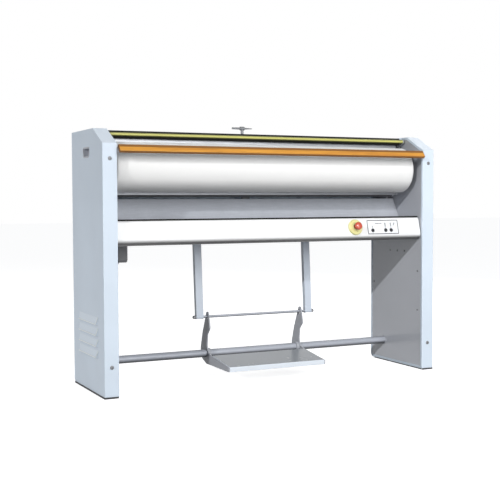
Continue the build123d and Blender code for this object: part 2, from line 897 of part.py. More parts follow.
def pivot_pin():
    """Left shouldered pin that the carrier swings on, fixed in the side panel."""
    shoulder_x = -arm_outer_x - panel_clearance
    head_x = -shoe_half + panel_clearance
    pin = rod_along_x(pivot_pin_radius, shoe_pivot, shoulder_x, head_x)
    head = rod_along_x(pivot_head_radius, shoe_pivot, head_x, head_x + pivot_head_thickness)
    shoulder = rod_along_x(pivot_shoulder_radius, shoe_pivot, -panel_x, shoulder_x)
    thread = rod_along_x(pivot_thread_radius, shoe_pivot, -panel_back_x - pivot_thread_length, -panel_x)
    hexagon = Pos(*shoe_pivot) * RegularPolygon(pivot_pin_radius, 6)
    nut = along_x(hexagon, -panel_back_x - pivot_nut_height, -panel_back_x)
    return pin + head + shoulder + thread + nut


def spring_lug():
    """Bent lug from the beam back to the spring's lower end."""
    thick = lug_thickness
    beam_back = beam_axis[0] + beam_size_y / 2
    points = [
        (beam_back + thick / 2, beam_axis[1] - beam_size_z / 2),
        (beam_back + thick / 2, spring_low - thick / 2 - panel_clearance),
        (screw_y + spring_radius, spring_low - thick / 2 - panel_clearance),
    ]
    return folded(points, [thick], thick, -spring_radius * 1.5, spring_radius * 1.5)


def carrier_beam():
    """Cross beam, a rectangular tube between the arms, with the spring's lug welded on."""
    y, z = beam_axis
    section = RectangleRounded(beam_size_y, beam_size_z, 2 * beam_wall)
    section -= RectangleRounded(beam_size_y - 2 * beam_wall, beam_size_z - 2 * beam_wall, beam_wall)
    return along_x(Pos(y, z) * section, -shoe_half, shoe_half) + spring_lug()


def lever_point(along, across):
    """Point on a drop lever: distance up from the rod, and back from the lever's middle."""
    lean = atan2(beam_axis[0] - rod_axis[0], beam_axis[1] - rod_axis[1])
    y = rod_axis[0] + along * sin(lean) + across * cos(lean)
    z = rod_axis[1] + along * cos(lean) - across * sin(lean)
    return (y, z)


def drop_lever(side):
    """Folded channel from the beam down to the tie rod, open at the back."""
    centre_x = mechanism_centre + side * lever_spacing / 2
    reach = hypot(beam_axis[0] - rod_axis[0], beam_axis[1] - rod_axis[1])
    half = lever_depth / 2
    outer = polygon([
        lever_point(-lever_tail, -half),
        lever_point(reach, -half),
        lever_point(reach, half),
        lever_point(-lever_tail, half),
    ])
    outer = fillet(outer.vertices().sort_by(Axis.Y)[:2], half * 0.8)
    inner = polygon([
        lever_point(-lever_tail * 3, -half + lever_wall),
        lever_point(reach * 1.1, -half + lever_wall),
        lever_point(reach * 1.1, half * 2),
        lever_point(-lever_tail * 3, half * 2),
    ])
    low_x = centre_x - lever_width / 2
    high_x = centre_x + lever_width / 2
    lever = along_x(outer, low_x, high_x)
    lever -= along_x(inner, low_x + lever_wall, high_x - lever_wall)
    above = Box(2 * lever_width, 4 * lever_depth, 2 * beam_size_z)
    lever -= Pos(centre_x, beam_axis[0], beam_axis[1] + beam_size_z / 2) * above
    return lever - rod_along_x(rod_radius, rod_axis, low_x - 1, high_x + 1)


def tie_rod():
    """Round rod through both levers and both pedal brackets."""
    half = rod_length / 2
    return rod_along_x(rod_radius, rod_axis, mechanism_centre - half, mechanism_centre + half)


def rod_caps():
    """Rounded caps on the rod's ends."""
    end = mechanism_centre + rod_length / 2
    start = end - rod_cap_cover
    cap = rod_along_x(rod_cap_radius, rod_axis, start, end + rod_cap_end)
    cap = chamfer(cap.faces().sort_by(Axis.X)[-1].edges(), rod_cap_end * 0.6)
    cap -= rod_along_x(rod_radius, rod_axis, start - 1, end)
    return [cap, mirror(cap, about=mechanism_plane)]


# Stretcher tube and pedal ----------------------------------------------

def stretcher_tube():
    """Round tube between the side panels, with threaded plugs welded into its ends."""
    tube = rod_along_x(tube_radius, tube_axis, -panel_x, panel_x)
    hollow = panel_x - plug_length
    tube -= rod_along_x(tube_radius - tube_wall, tube_axis, -hollow, hollow)
    return tube - rod_along_x(tube_bolt_radius, tube_axis, -panel_x - 1, panel_x + 1)


def tube_bolt():
    """Left bolt that pulls the tube against the side panel."""
    hexagon = Pos(*tube_axis) * RegularPolygon(tube_bolt_radius * 1.8, 6)
    head = along_x(hexagon, -panel_back_x - tube_bolt_radius * 1.3, -panel_back_x)
    return head + rod_along_x(tube_bolt_radius, tube_axis, -panel_back_x, -panel_x + plug_length)


def pedal_bracket(side):
    """Curved side plate of the pedal, slotted at its tip for the tie rod."""
    tip = rod_height + 21
    toe = pedal_front_setback + 2
    outline = [
        place(rod_setback - 9, tip),
        place(rod_setback + 8, tip),
        place(rod_setback + 22, rod_height - 10),
        place(tube_setback + 34, tube_height + 88),
        place(tube_setback + 56, tube_height + 18),
        place(tube_setback + 42, tube_height - 26),
        place(tube_setback - 6, tube_height - 45),
        place(toe, pedal_front_height - pedal_lip_height),
        place(toe, pedal_front_height - pedal_sheet),
        place(pedal_rear_setback, pedal_rear_height - pedal_sheet),
        place(tube_setback - 26, tube_height + 6),
        place(tube_setback - 12, tube_height + 32),
        place(tube_setback - 19, tube_height + 86),
        place(tube_setback - 46, tube_height + 113),
        place(rod_setback - 17, rod_height - 4),
    ]
    radii = [7, 7, 40, 60, 18, 16, 30, 3, 1, 20, 20, 40, 14, 14, 30]
    plate = make_face(FilletPolyline(*outline, radius=radii, close=True))
    plate -= Pos(*tube_axis) * Circle(tube_radius + pedal_hub_clearance)
    slot = SlotCenterToCenter(slot_travel, 2 * (rod_radius + slot_clearance))
    plate -= Pos(rod_axis[0], rod_axis[1] - slot_drop) * Rot(0, 0, 90) * slot
    outer = mechanism_centre + side * pedal_span / 2
    inner = outer - side * pedal_bracket_thickness
    return along_x(plate, min(outer, inner), max(outer, inner))


def pedal_plate():
    """Tread with a turned-down front lip."""
    half = pedal_span / 2 - pedal_bracket_thickness
    mid = pedal_sheet / 2
    points = [
        place(pedal_rear_setback, pedal_rear_height - mid),
        place(pedal_front_setback + mid, pedal_front_height - mid),
        place(pedal_front_setback + mid + 2, pedal_front_height - pedal_lip_height),
    ]
    return folded(points, [2.5], pedal_sheet, mechanism_centre - half, mechanism_centre + half)


def pedal_hubs():
    """Collars that carry the brackets on the stretcher tube."""
    high = mechanism_centre + pedal_span / 2 - pedal_bracket_thickness
    low = high - pedal_hub_length
    hub = rod_along_x(pedal_hub_radius, tube_axis, low, high)
    hub -= rod_along_x(tube_radius + pedal_hub_clearance, tube_axis, low - 1, high + 1)
    return [hub, mirror(hub, about=mechanism_plane)]


# Feed board ------------------------------------------------------------

def board_point(up, behind):
    """Point on the board's section: up its sloped face, and behind that face."""
    lean = radians(board_angle)
    # The rounded lower corner draws back a little, so the slat is set forward by the same amount.
    draw_back = board_edge_radius * (cos(lean) + sin(lean) - 1)
    y = front_y - board_overhang - draw_back + up * cos(lean) + behind * sin(lean)
    z = board_low_height + up * sin(lean) - behind * cos(lean)
    return (y, z)


def feed_board():
    """Sloped wooden slat along the front of the roll."""
    section = polygon([
        board_point(0, 0),
        board_point(board_width, 0),
        board_point(board_width, board_thickness),
        board_point(0, board_thickness),
    ])
    section = fillet(section.vertices(), board_edge_radius)
    half = rim_x - board_end_gap
    return along_x(section, -half, half)


def board_rail():
    """Steel rail behind the slat, from one cabinet's rim to the other."""
    mid = board_thickness + board_rail_thickness / 2
    points = [
        board_point(board_edge_radius, mid),
        board_point(board_width - board_edge_radius, mid),
        board_point(board_width - board_edge_radius, mid + board_rail_lip),
    ]
    return folded(points, [3.0], board_rail_thickness, -rim_x, rim_x)


# Finger guard ----------------------------------------------------------

def guard_bar():
    """Round bar over the nip."""
    half = panel_x - guard_end_gap
    return rod_along_x(guard_radius, guard_axis, -half, half)


def guard_arm():
    """Left arm that carries the bar."""
    eyes = [Pos(*centre) * Circle(guard_arm_radius) for centre in (guard_axis, guard_pivot)]
    plate = make_hull((Sketch() + eyes).edges())
    plate -= Pos(*guard_axis) * Circle(guard_radius)
    plate -= Pos(*guard_pivot) * Circle(guard_pin_radius + running_clearance)
    start = -panel_x + guard_arm_gap
    return along_x(plate, start, start + guard_arm_thickness)


def guard_pin():
    """Left shouldered pin for the guard arm."""
    arm_low = -panel_x + guard_arm_gap
    arm_high = arm_low + guard_arm_thickness
    shoulder = rod_along_x(guard_pin_radius * 1.8, guard_pivot, -panel_x, arm_low - panel_clearance)
    pin = rod_along_x(guard_pin_radius, guard_pivot, -panel_x, arm_high + panel_clearance)
    head = rod_along_x(guard_pin_radius * 1.8, guard_pivot, arm_high + panel_clearance, arm_high + 4)
    return shoulder + pin + head


def guard_strip():
    """Dark strip on the rear cover's front flange, behind the bar."""
    face_setback = guard_setback + guard_radius + guard_back_room
    low_y, low_z = place(face_setback, guard_strip_low)
    half = panel_x - flange_end_relief
    size_z = rear_cover_top - guard_strip_low
    centre = (0, low_y + guard_strip_thickness / 2, low_z + size_z / 2)
    strip = Pos(*centre) * Box(2 * half, guard_strip_thickness, size_z)
    return fillet(strip.faces().sort_by(Axis.Y)[0].edges().filter_by(Axis.X), guard_strip_thickness * 0.4)


def rear_cover():
    """Folded sheet over the top and down the back."""
    flange_setback = guard_setback + guard_radius + guard_back_room + guard_strip_thickness + sheet / 2
    top = rear_cover_top - sheet / 2
    back_setback = cabinet_depth - rear_cover_inset - sheet / 2
    points = [
        place(flange_setback, guard_strip_low),
        place(flange_setback, top),
        place(back_setback, top),
        place(back_setback, rear_cover_bottom),
        place(back_setback - rear_cover_return, rear_cover_bottom),
    ]
    half = rim_x - rear_cover_end_gap
    cover = folded(points, [2.5, 2.5, 2.5], sheet, -half, half)
    flange_y, flange_z = place(flange_setback, guard_strip_low)
    relief_height = rear_cover_top - guard_strip_low - 4
    for side in (-1, 1):
        relief = Box(2 * flange_end_relief, 4 * sheet, 2 * relief_height)
        cover -= Pos(side * panel_x, flange_y, flange_z) * relief
    slot = Box(vent_width, 4 * sheet, vent_height)
    for side in (-1, 1):
        for index in range(vent_count):
            x = side * (vent_inset + index * vent_pitch)
            cover -= Pos(x, front_y + back_setback, rear_cover_top - vent_drop - vent_height / 2) * slot
    nut_hole = Cylinder(screw_nut_radius + nut_hole_clearance, 4 * sheet)
    return cover - Pos(0, screw_y, rear_cover_top) * nut_hole


def cover_cleats():
    """Angle cleats that carry the rear cover: two under its top and two inside its back."""
    corner = (Align.MIN, Align.MAX, Align.MAX)
    top = Box(cleat_sheet, cleat_length, cleat_size, align=corner)
    top += Box(cleat_size, cleat_length, cleat_sheet, align=corner)
    back = Box(cleat_sheet, cleat_size, cleat_length, align=corner)
    back += Box(cleat_size, cleat_sheet, cleat_length, align=corner)
    under = rear_cover_top - sheet - cleat_clearance
    inside = back_y - rear_cover_inset - sheet - cleat_clearance
    top = Pos(-rim_x, screw_y - crossbar_size, under) * top
    back = Pos(-rim_x, inside, back_cleat_height) * back
    return both_sides(top) + both_sides(back)


# Housing and tray ------------------------------------------------------

def housing_path(shrink):
    """Points of the housing's folded section, drawn in by a shrink."""
    top = fascia_high_height - shrink
    low = fascia_low_height + shrink
    rise = shrink / cos(fascia_lean)
    drift = shrink * tan(fascia_lean)
    return [
        place(housing_depth - shrink, top),
        place(fascia_top_setback + rise - drift, top),
        place(fascia_low_setback + rise + drift, low),
        place(housing_depth - shrink, low),
    ]


def control_housing():
    """Folded fascia across the front, open at the back."""
    half = panel_x - housing_end_gap
    points = housing_path(0)
    points.append(place(housing_depth, housing_bottom + housing_return))
    radii = [fascia_top_radius, fascia_low_radius, 2.5]
    body = folded(points, radii, sheet, -half, half)
    stop = on_fascia(stop_x, stop_height)
    body -= stop * Pos(0, 0, -2 * sheet) * Cylinder(stop_neck_radius + stop_neck_clearance, 6 * sheet)
    for x in button_x:
        body -= on_fascia(x, button_height) * Cylinder(button_radius + button_clearance, 6 * sheet)
    return body


def housing_cheek():
    """Left end plate of the housing, with standoffs that meet the side panel."""
    shrink = sheet / 2 + panel_clearance
    points = housing_path(shrink)
    radii = [2.0, fascia_top_radius - shrink, fascia_low_radius - shrink, 2.0]
    section = make_face(FilletPolyline(*points, radius=radii, close=True))
    start = -panel_x + housing_end_gap
    cheek = along_x(section, start, start + sheet)
    spots = [
        place(fascia_top_setback + spacer_inset, (housing_top + housing_bottom) / 2),
        place(housing_depth - spacer_inset, housing_top - spacer_inset),
        place(housing_depth - spacer_inset, housing_bottom + spacer_inset),
    ]
    for spot in spots:
        cheek += rod_along_x(spacer_radius, spot, -panel_x, start + sheet)
    return cheek


def catch_tray():
    """Sloped sheet under the roll that lets the ironed linen slide forward."""
    half = panel_x - tray_end_gap
    points = [
        place(tray_front_setback, tray_height),
        place(tray_bend_setback, tray_height),
        place(tray_top_setback, tray_top_height - sheet / 2),
        place(tray_top_setback + tray_hem, tray_top_height - sheet / 2),
    ]
    return folded(points, [5.0, 2.0], sheet, -half, half)


def tray_bracket():
    """Left gusset on the side panel, under the tray's slope."""
    bend = place(tray_bend_setback, tray_height)
    top = place(tray_top_setback, tray_top_height - sheet / 2)
    slope = atan2(top[1] - bend[1], top[0] - bend[0])
    depth = sheet / 2 + tray_bracket_clearance + tray_bracket_size / 2
    middle = (tray_bracket_start + tray_bracket_end) / 2
    centre_y = bend[0] + middle * cos(slope) + depth * sin(slope)
    centre_z = bend[1] + middle * sin(slope) - depth * cos(slope)
    bar = Rectangle(tray_bracket_end - tray_bracket_start, tray_bracket_size)
    section = Pos(centre_y, centre_z) * Rot(0, 0, degrees(slope)) * bar
    return along_x(section, -panel_x, -panel_x + tray_bracket_size)


# Controls --------------------------------------------------------------

def stop_base():
    """Yellow disc of the emergency stop."""
    disc = Cylinder(stop_base_radius, stop_base_thickness, align=(Align.CENTER, Align.CENTER, Align.MIN))
    disc = chamfer(disc.edges().sort_by(Axis.Z)[-1], stop_base_thickness * 0.35)
    disc -= Cylinder(stop_neck_radius + stop_neck_clearance, 4 * stop_base_thickness)
    return on_fascia(stop_x, stop_height) * disc


def stop_button():
    """Red mushroom of the emergency stop, on its stem."""
    neck_low = -stop_block_depth * 0.4
    head_low = stop_reach - stop_head_height
    neck = Pos(0, 0, neck_low) * Cylinder(
        stop_neck_radius, head_low - neck_low, align=(Align.CENTER, Align.CENTER, Align.MIN)
    )
    head = Pos(0, 0, head_low) * Cylinder(
        stop_head_radius, stop_head_height, align=(Align.CENTER, Align.CENTER, Align.MIN)
    )
    head = fillet(head.edges().sort_by(Axis.Z)[-1], stop_head_height * 0.7)
    return on_fascia(stop_x, stop_height) * (neck + head)


def stop_block():
    """Contact block of the emergency stop, inside the housing."""
    low = -stop_block_depth
    block = Pos(0, 0, low) * Box(
        stop_block_size,
        stop_block_size,
        stop_block_depth - sheet,
        align=(Align.CENTER, Align.CENTER, Align.MIN),
    )
    depth = stop_block_depth * 0.4 + stop_travel + stop_neck_clearance
    bore = Pos(0, 0, -depth) * Cylinder(
        stop_neck_radius + stop_neck_clearance, 2 * depth, align=(Align.CENTER, Align.CENTER, Align.MIN)
    )
    return on_fascia(stop_x, stop_height) * (block - bore)


def label_plate():
    """Bare plate under the push buttons."""
    plate = Pos(0, 0, label_thickness / 2) * Box(label_length, label_width, label_thickness)
    plate = on_fascia(label_x, label_height) * fillet(plate.edges().filter_by(Axis.Z), 1.5)
    for x in button_x:
        plate -= on_fascia(x, button_height) * Cylinder(button_radius + button_clearance, 6 * sheet)
    return plate


def push_button(x):
    """Round push button on its stem."""
    cap_low = -sheet
    cap = Pos(0, 0, cap_low) * Cylinder(
        button_radius, button_reach - cap_low, align=(Align.CENTER, Align.CENTER, Align.MIN)
    )
    cap = chamfer(cap.edges().sort_by(Axis.Z)[-1], button_chamfer)
    stem = Pos(0, 0, -switch_depth * 0.5) * Cylinder(
        button_stem_radius, switch_depth * 0.5, align=(Align.CENTER, Align.CENTER, Align.MIN)
    )
    return on_fascia(x, button_height) * (cap + stem)


def switch_blocks():
    """Switch bodies behind the push buttons."""
    blocks = []
    for x in button_x:
        top = -button_reach - sheet
        body = Pos(0, 0, -switch_depth) * Box(
            switch_width, switch_width, switch_depth + top, align=(Align.CENTER, Align.CENTER, Align.MIN)
        )
        bore = stub((0, 0, -switch_depth * 0.75), (0, 0, 1), button_stem_radius + button_clearance, switch_depth)
        body -= bore
        collar = Pos(0, 0, top) * Cylinder(
            switch_width * 0.4, -top - sheet, align=(Align.CENTER, Align.CENTER, Align.MIN)
        )
        collar -= Cylinder(button_radius + button_clearance, 4 * switch_depth)
        blocks.append(on_fascia(x, button_height) * (body + collar))
    return blocks


# Hand screw ------------------------------------------------------------

def rear_crossbar():
    """Square tube between the side panels that holds the hand screw."""
    hollow = crossbar_size - 2 * crossbar_wall
    section = RectangleRounded(crossbar_size, crossbar_size, 2 * crossbar_wall)
    section -= RectangleRounded(hollow, hollow, crossbar_wall)
    bar = along_x(Pos(screw_y, crossbar_height) * section, -panel_x, panel_x)
    return bar - Pos(0, screw_y, crossbar_height) * Cylinder(screw_nut_radius, 2 * crossbar_size)


def screw_nut():
    """Long nut through the crossbar, with a collar above the rear cover."""
    low = crossbar_height - crossbar_size / 2 - screw_nut_tail
    high = rear_cover_top + screw_nut_collar
    nut = Pos(0, screw_y, low) * Cylinder(
        screw_nut_radius, high - low, align=(Align.CENTER, Align.CENTER, Align.MIN)
    )
    nut = chamfer(nut.edges().sort_by(Axis.Z)[-1], screw_nut_chamfer)
    bore = Cylinder(screw_radius + running_clearance, 2 * (high - low))
    return nut - Pos(0, screw_y, (low + high) / 2) * bore


def hand_screw():
    """Screw stem with its T-handle."""
    stem = Pos(0, screw_y, screw_low) * Cylinder(
        screw_radius, screw_bar_height - screw_low, align=(Align.CENTER, Align.CENTER, Align.MIN)
    )
    half = screw_bar_length / 2
    hub = Rot(0, 90, 0) * Cylinder(screw_hub_radius, 3 * screw_radius)
    hub = Pos(0, screw_y, screw_bar_height) * hub
    arm = Plane.YZ * Pos(screw_y, screw_bar_height) * Circle(screw_bar_radius)
    blunt = Plane.YZ.offset(-half) * Pos(screw_y, screw_bar_height) * Circle(screw_bar_radius * 0.85)
    point = Plane.YZ.offset(half) * Pos(screw_y, screw_bar_height) * Circle(screw_bar_radius * 0.35)
    return stem + hub + loft([blunt, arm]) + loft([arm, point])


def pressure_spring():
    """Tension spring between the hand screw and the beam's lug, as a close-wound coil."""
    middle = (screw_low + spring_low) / 2
    coil = Cylinder(spring_radius, screw_low - spring_low - 2 * panel_clearance)
    coil -= Cylinder(spring_radius - spring_wire, 2 * (screw_low - spring_low))
    return Pos(0, screw_y, middle) * coil


# Electrical ------------------------------------------------------------

def control_box():
    """Closed box for the contactors, inside the right cabinet."""
    centre = (
        panel_back_x + control_box_width / 2,
        front_y + control_box_setback + control_box_depth / 2,
        control_box_low + control_box_height / 2,
    )
    box = Pos(*centre) * Box(control_box_width, control_box_depth, control_box_height)
    return fillet(box.faces().sort_by(Axis.X)[-1].edges(), 4)


def cable_gland():
    """Inlet gland through the back edge of the right cabinet, with its nut inside."""
    x = (outer_x + rim_x) / 2
    point = (x, back_y, gland_height)
    inside = (x, back_y - sheet - gland_nut, gland_height)
    body = stub(point, (0, 1, 0), gland_radius, gland_reach * 0.5)
    nose = stub(point, (0, 1, 0), gland_radius * 0.8, gland_reach)
    nose = chamfer(nose.edges().sort_by(Axis.Y)[-1], gland_chamfer)
    shank = stub(inside, (0, 1, 0), gland_shank, gland_nut + sheet)
    nut = stub(inside, (0, 1, 0), gland_radius, gland_nut)
    return body + nose + shank + nut - stub(inside, (0, 1, 0), gland_bore, 4 * gland_reach)


def guard_switch():
    """Small switch behind the right guard arm."""
    y, z = guard_pivot
    size_x = guard_arm_gap - guard_switch_gap
    body = Box(size_x, guard_switch_length, guard_switch_height)
    body = fillet(body.edges().filter_by(Axis.X), 2)
    return Pos(panel_x - size_x / 2, y + guard_switch_offset, z) * body


# Nodes -----------------------------------------------------------------

nodes = {
    "left_cover": cabinet_cover(),
    "left_side_panel": side_panel(-1),
    "right_side_panel": side_panel(1),
    "grip_cups": both_sides(grip_cup()),
    "foot_rails": both_sides(foot_rail()),
    "cover_screws": cover_screws(),
    "panel_screws": panel_screws(),
    "roll_drum": roll_drum(),
    "roll_journals": roll_journals(),
    "roll_padding": roll_padding(),
    "roll_cloth": roll_cloth(),
    "bearings": both_sides(bearing()),
    "frame_bolts": bearing_bolts() + both_sides(tube_bolt()),
    "roll_pulley": pulley(roll_axis, roll_pulley_radius, shaft_radius),
    "motor_pulley": pulley(motor_axis, motor_pulley_radius, output_shaft_radius),
    "drive_belt": drive_belt(),
    "output_shaft": output_shaft(),
    "gearbox": gearbox(),
    "motor": motor(),
    "shoe": shoe(),
    "heater_rods": heater_rods(),
    "shoe_insulation": shoe_insulation(),
    "shoe_back_cover": shoe_back_cover(),
    "carrier_arms": both_sides(carrier_arm()),
    "carrier_beam": carrier_beam(),
    "drop_levers": [drop_lever(-1), drop_lever(1)],
    "tie_rod": tie_rod(),
    "rod_caps": rod_caps(),
    "pivot_pins": both_sides(pivot_pin()) + both_sides(guard_pin()),
    "stretcher_tube": stretcher_tube(),
    "left_pedal_bracket": pedal_bracket(-1),
    "right_pedal_bracket": pedal_bracket(1),
    "pedal_plate": pedal_plate(),
    "pedal_hubs": pedal_hubs(),
    "feed_board": feed_board(),
    "board_rail": board_rail(),
    "guard_bar": guard_bar(),
    "guard_arms": both_sides(guard_arm()),
    "guard_strip": guard_strip(),
    "guard_switch": guard_switch(),
    "rear_cover": rear_cover(),
    "cover_cleats": cover_cleats(),
    "control_housing": control_housing(),
    "housing_cheeks": both_sides(housing_cheek()),
    "catch_tray": catch_tray(),
    "tray_brackets": both_sides(tray_bracket()),
    "stop_base": stop_base(),
    "stop_button": stop_button(),
    "label_plate": label_plate(),
    "switch_blocks": switch_blocks() + [stop_block()],
    "rear_crossbar": rear_crossbar(),
    "screw_nut": screw_nut(),
    "hand_screw": hand_screw(),
    "pressure_spring": pressure_spring(),
    "control_box": control_box(),
    "cable_gland": cable_gland(),
}
inlet_start = ((outer_x + rim_x) / 2, back_y - 2 * sheet, gland_height)
inlet = stub(inlet_start, (0, 1, 0), gland_shank, 3 * sheet)
nodes["right_cover"] = mirror(nodes["left_cover"], about=Plane.YZ) - inlet
for number, x in enumerate(button_x, start=1):
    nodes["push_button_" + str(number)] = push_button(x)

for name, shape in nodes.items():
    if isinstance(shape, list):
        shape = Compound(children=shape)
    export_step(shape, "parts/" + name + ".step")
print(len(nodes), "nodes")
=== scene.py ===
import json
import math
import random

import bmesh
import bpy
from mathutils import Matrix, Vector


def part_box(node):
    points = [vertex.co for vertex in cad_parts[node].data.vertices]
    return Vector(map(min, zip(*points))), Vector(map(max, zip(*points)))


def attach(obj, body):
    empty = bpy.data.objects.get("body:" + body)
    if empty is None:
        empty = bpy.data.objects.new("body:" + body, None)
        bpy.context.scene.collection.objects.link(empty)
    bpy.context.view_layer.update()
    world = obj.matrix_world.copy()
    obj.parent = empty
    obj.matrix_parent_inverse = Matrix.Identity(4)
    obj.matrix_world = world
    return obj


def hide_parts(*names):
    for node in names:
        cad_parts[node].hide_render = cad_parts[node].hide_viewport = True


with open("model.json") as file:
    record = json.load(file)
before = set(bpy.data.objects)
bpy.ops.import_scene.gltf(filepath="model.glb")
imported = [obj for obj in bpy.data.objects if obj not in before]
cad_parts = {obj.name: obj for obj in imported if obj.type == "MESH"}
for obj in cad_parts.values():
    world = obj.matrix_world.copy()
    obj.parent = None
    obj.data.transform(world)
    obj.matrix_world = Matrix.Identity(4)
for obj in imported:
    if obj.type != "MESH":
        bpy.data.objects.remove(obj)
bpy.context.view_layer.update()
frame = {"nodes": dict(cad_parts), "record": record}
nodes = frame["nodes"]
print("ironer: frame loaded,", len(nodes), "nodes")


# tools for the node trees

def feed(socket, value):
    # a number, a colour or another node's output for a socket
    if isinstance(value, bpy.types.NodeSocket):
        socket.id_data.links.new(value, socket)
    else:
        socket.default_value = (*value, 1) if socket.type == "RGBA" else value


def addNode(tree, kind, sockets=None, **values):
    node = tree.nodes.new("ShaderNode" + kind)
    for key, value in values.items():
        setattr(node, key, value)
    for key, value in (sockets or {}).items():
        feed(node.inputs[key], value)
    return node


def spread(value, low, high, out=(0.0, 1.0)):
    return addNode(value.id_data, "MapRange", dict(enumerate((value, low, high, *out)))).outputs[0]


def times(first, second):
    return addNode(first.id_data, "Math", {0: first, 1: second}, operation="MULTIPLY").outputs[0]


def blendColours(amount, first, second):
    return addNode(amount.id_data, "Mix", {0: amount, 6: first, 7: second}, data_type="RGBA").outputs[2]


def toned(colour, share, lift=0.0):
    return tuple(min(1.0, c * share + lift) for c in colour)


# camera, light and floor

cameraFacts = {
    "place": (-1.91865, -3.84934, 0.76426),
    "yaw": 25.9167,  # degrees to the right of straight ahead
    "pitch": 2.8549,  # degrees down
    "roll": -0.2030,
    "lens": 71.34,
    "sensor": 36.0,
}

lightFacts = {
    "sunStrength": 1.22,
    "sunDirection": (1.85, 1.0, -0.72),
    "sunAngle": 0.9,
    "frontPower": 152.0,
    "frontSize": (2.2, 3.2),
    "frontPlace": (0.4, -3.8, 1.75),
    "frontTarget": (0.1, 0.0, 0.75),
    "sidePower": 6.6,
    "sideSize": (1.4, 0.5),
    "sidePlace": (-2.5, -0.3, 0.28),
    "sideTarget": (-0.77, 0.0, 0.2),
    "rearPower": 84.0,
    "rearSize": (2.4, 1.6),
    "rearPlace": (3.9, 2.3, 2.5),
    "rearTarget": (0.0, 0.0, 0.6),
    "skyColour": (0.86, 0.92, 1.0),
    "skyStrength": 0.11,
    "backdropColour": (1.0, 1.0, 1.0),
    "backdropStrength": 1.0,
}

floorFacts = {
    "size": 60.0,
    "seen": (0.75, 0.75, 0.75),  # colour for direct rays
    "bounced": (0.15, 0.15, 0.155),  # colour for light sent back to the object
    "lift": 0.80,  # glow that only direct rays see
}


def aimMatrix(place, target):
    away = (Vector(place) - Vector(target)).normalized()
    matrix = away.to_track_quat("Z", "Y").to_matrix().to_4x4()
    matrix.translation = Vector(place)
    return matrix


def addCamera():
    yaw, pitch, roll = (math.radians(cameraFacts[key]) for key in ("yaw", "pitch", "roll"))
    ahead = Vector((math.sin(yaw) * math.cos(pitch), math.cos(yaw) * math.cos(pitch), -math.sin(pitch)))
    across = Vector((math.cos(yaw), -math.sin(yaw), 0.0))
    upright = across.cross(ahead)
    right = across * math.cos(roll) + upright * math.sin(roll)
    up = upright * math.cos(roll) - across * math.sin(roll)
    camera = bpy.data.objects.new("camera", bpy.data.cameras.new("camera"))
    camera.data.lens = cameraFacts["lens"]
    camera.data.sensor_width = cameraFacts["sensor"]
    matrix = Matrix((right, up, -ahead)).transposed().to_4x4()
    matrix.translation = Vector(cameraFacts["place"])
    camera.matrix_world = matrix
    bpy.context.scene.collection.objects.link(camera)
    bpy.context.scene.camera = camera


def addLights():
    sun = bpy.data.lights.new("windowSun", "SUN")
    sun.energy = lightFacts["sunStrength"]
    sun.angle = math.radians(lightFacts["sunAngle"])
    sunObject = bpy.data.objects.new("windowSun", sun)
    sunObject.matrix_world = aimMatrix(-Vector(lightFacts["sunDirection"]), (0, 0, 0))
    lamps = [sunObject]
    for key in ("front", "side", "rear"):
        softbox = bpy.data.lights.new(key + "Softbox", "AREA")
        softbox.shape = "RECTANGLE"
        softbox.size, softbox.size_y = lightFacts[key + "Size"]
        softbox.energy = lightFacts[key + "Power"]
        lamps.append(bpy.data.objects.new(key + "Softbox", softbox))
        lamps[-1].matrix_world = aimMatrix(lightFacts[key + "Place"], lightFacts[key + "Target"])
    for lamp in lamps:
        bpy.context.scene.collection.objects.link(lamp)


def directRays(tree):
    # 1 for a ray from the camera, a mirror or glass, 0 for the light that falls on the object
    path = addNode(tree, "LightPath")
    direct = path.outputs["Is Camera Ray"]
    for kind in ("Is Glossy Ray", "Is Transmission Ray"):
        direct = addNode(tree, "Math", {0: direct, 1: path.outputs[kind]}, operation="MAXIMUM").outputs[0]
    return direct


def addWorld():
    world = bpy.data.worlds.new("paleStudio")
    world.use_nodes = True
    tree = world.node_tree
    tree.nodes.clear()
    mix = addNode(tree, "MixShader", {0: directRays(tree)})
    for place, key in enumerate(("sky", "backdrop"), 1):
        look = {"Color": lightFacts[key + "Colour"], "Strength": lightFacts[key + "Strength"]}
        feed(mix.inputs[place], addNode(tree, "Background", look).outputs[0])
    addNode(tree, "OutputWorld", {"Surface": mix.outputs[0]})
    bpy.context.scene.world = world


def addFloor():
    half = floorFacts["size"] / 2
    mesh = bpy.data.meshes.new("floor")
    corners = [(-half, -half, 0), (half, -half, 0), (half, half, 0), (-half, half, 0)]
    mesh.from_pydata(corners, [], [(0, 1, 2, 3)])
    floor = bpy.data.objects.new("floor", mesh)
    bpy.context.scene.collection.objects.link(floor)
    material = bpy.data.materials.new("paleFloor")
    material.use_nodes = True
    tree = material.node_tree
    tree.nodes.clear()
    direct = directRays(tree)
    tone = blendColours(direct, floorFacts["bounced"], floorFacts["seen"])
    matt = addNode(tree, "BsdfDiffuse", {"Color": tone})
    glow = addNode(tree, "Emission", {"Strength": times(direct, floorFacts["lift"])})
    both = addNode(tree, "AddShader", {0: matt.outputs[0], 1: glow.outputs[0]})
    addNode(tree, "OutputMaterial", {"Surface": both.outputs[0]})
    mesh.materials.append(material)


addCamera()
addLights()
addWorld()
addFloor()
bpy.context.scene.view_settings.view_transform = "Standard"
print("ironer: camera, lights and floor")


# finishes: every colour below is linear, every length is in metres

def newFinish(name, colour, roughness, metallic=0.0, **sockets):
    material = bpy.data.materials.new(name)
    material.use_nodes = True
    shader = material.node_tree.nodes["Principled BSDF"]
    for key, value in dict(sockets, Base_Color=colour, Roughness=roughness, Metallic=metallic).items():
        feed(shader.inputs[key.replace("_", " ")], value)
    return material, material.node_tree, shader


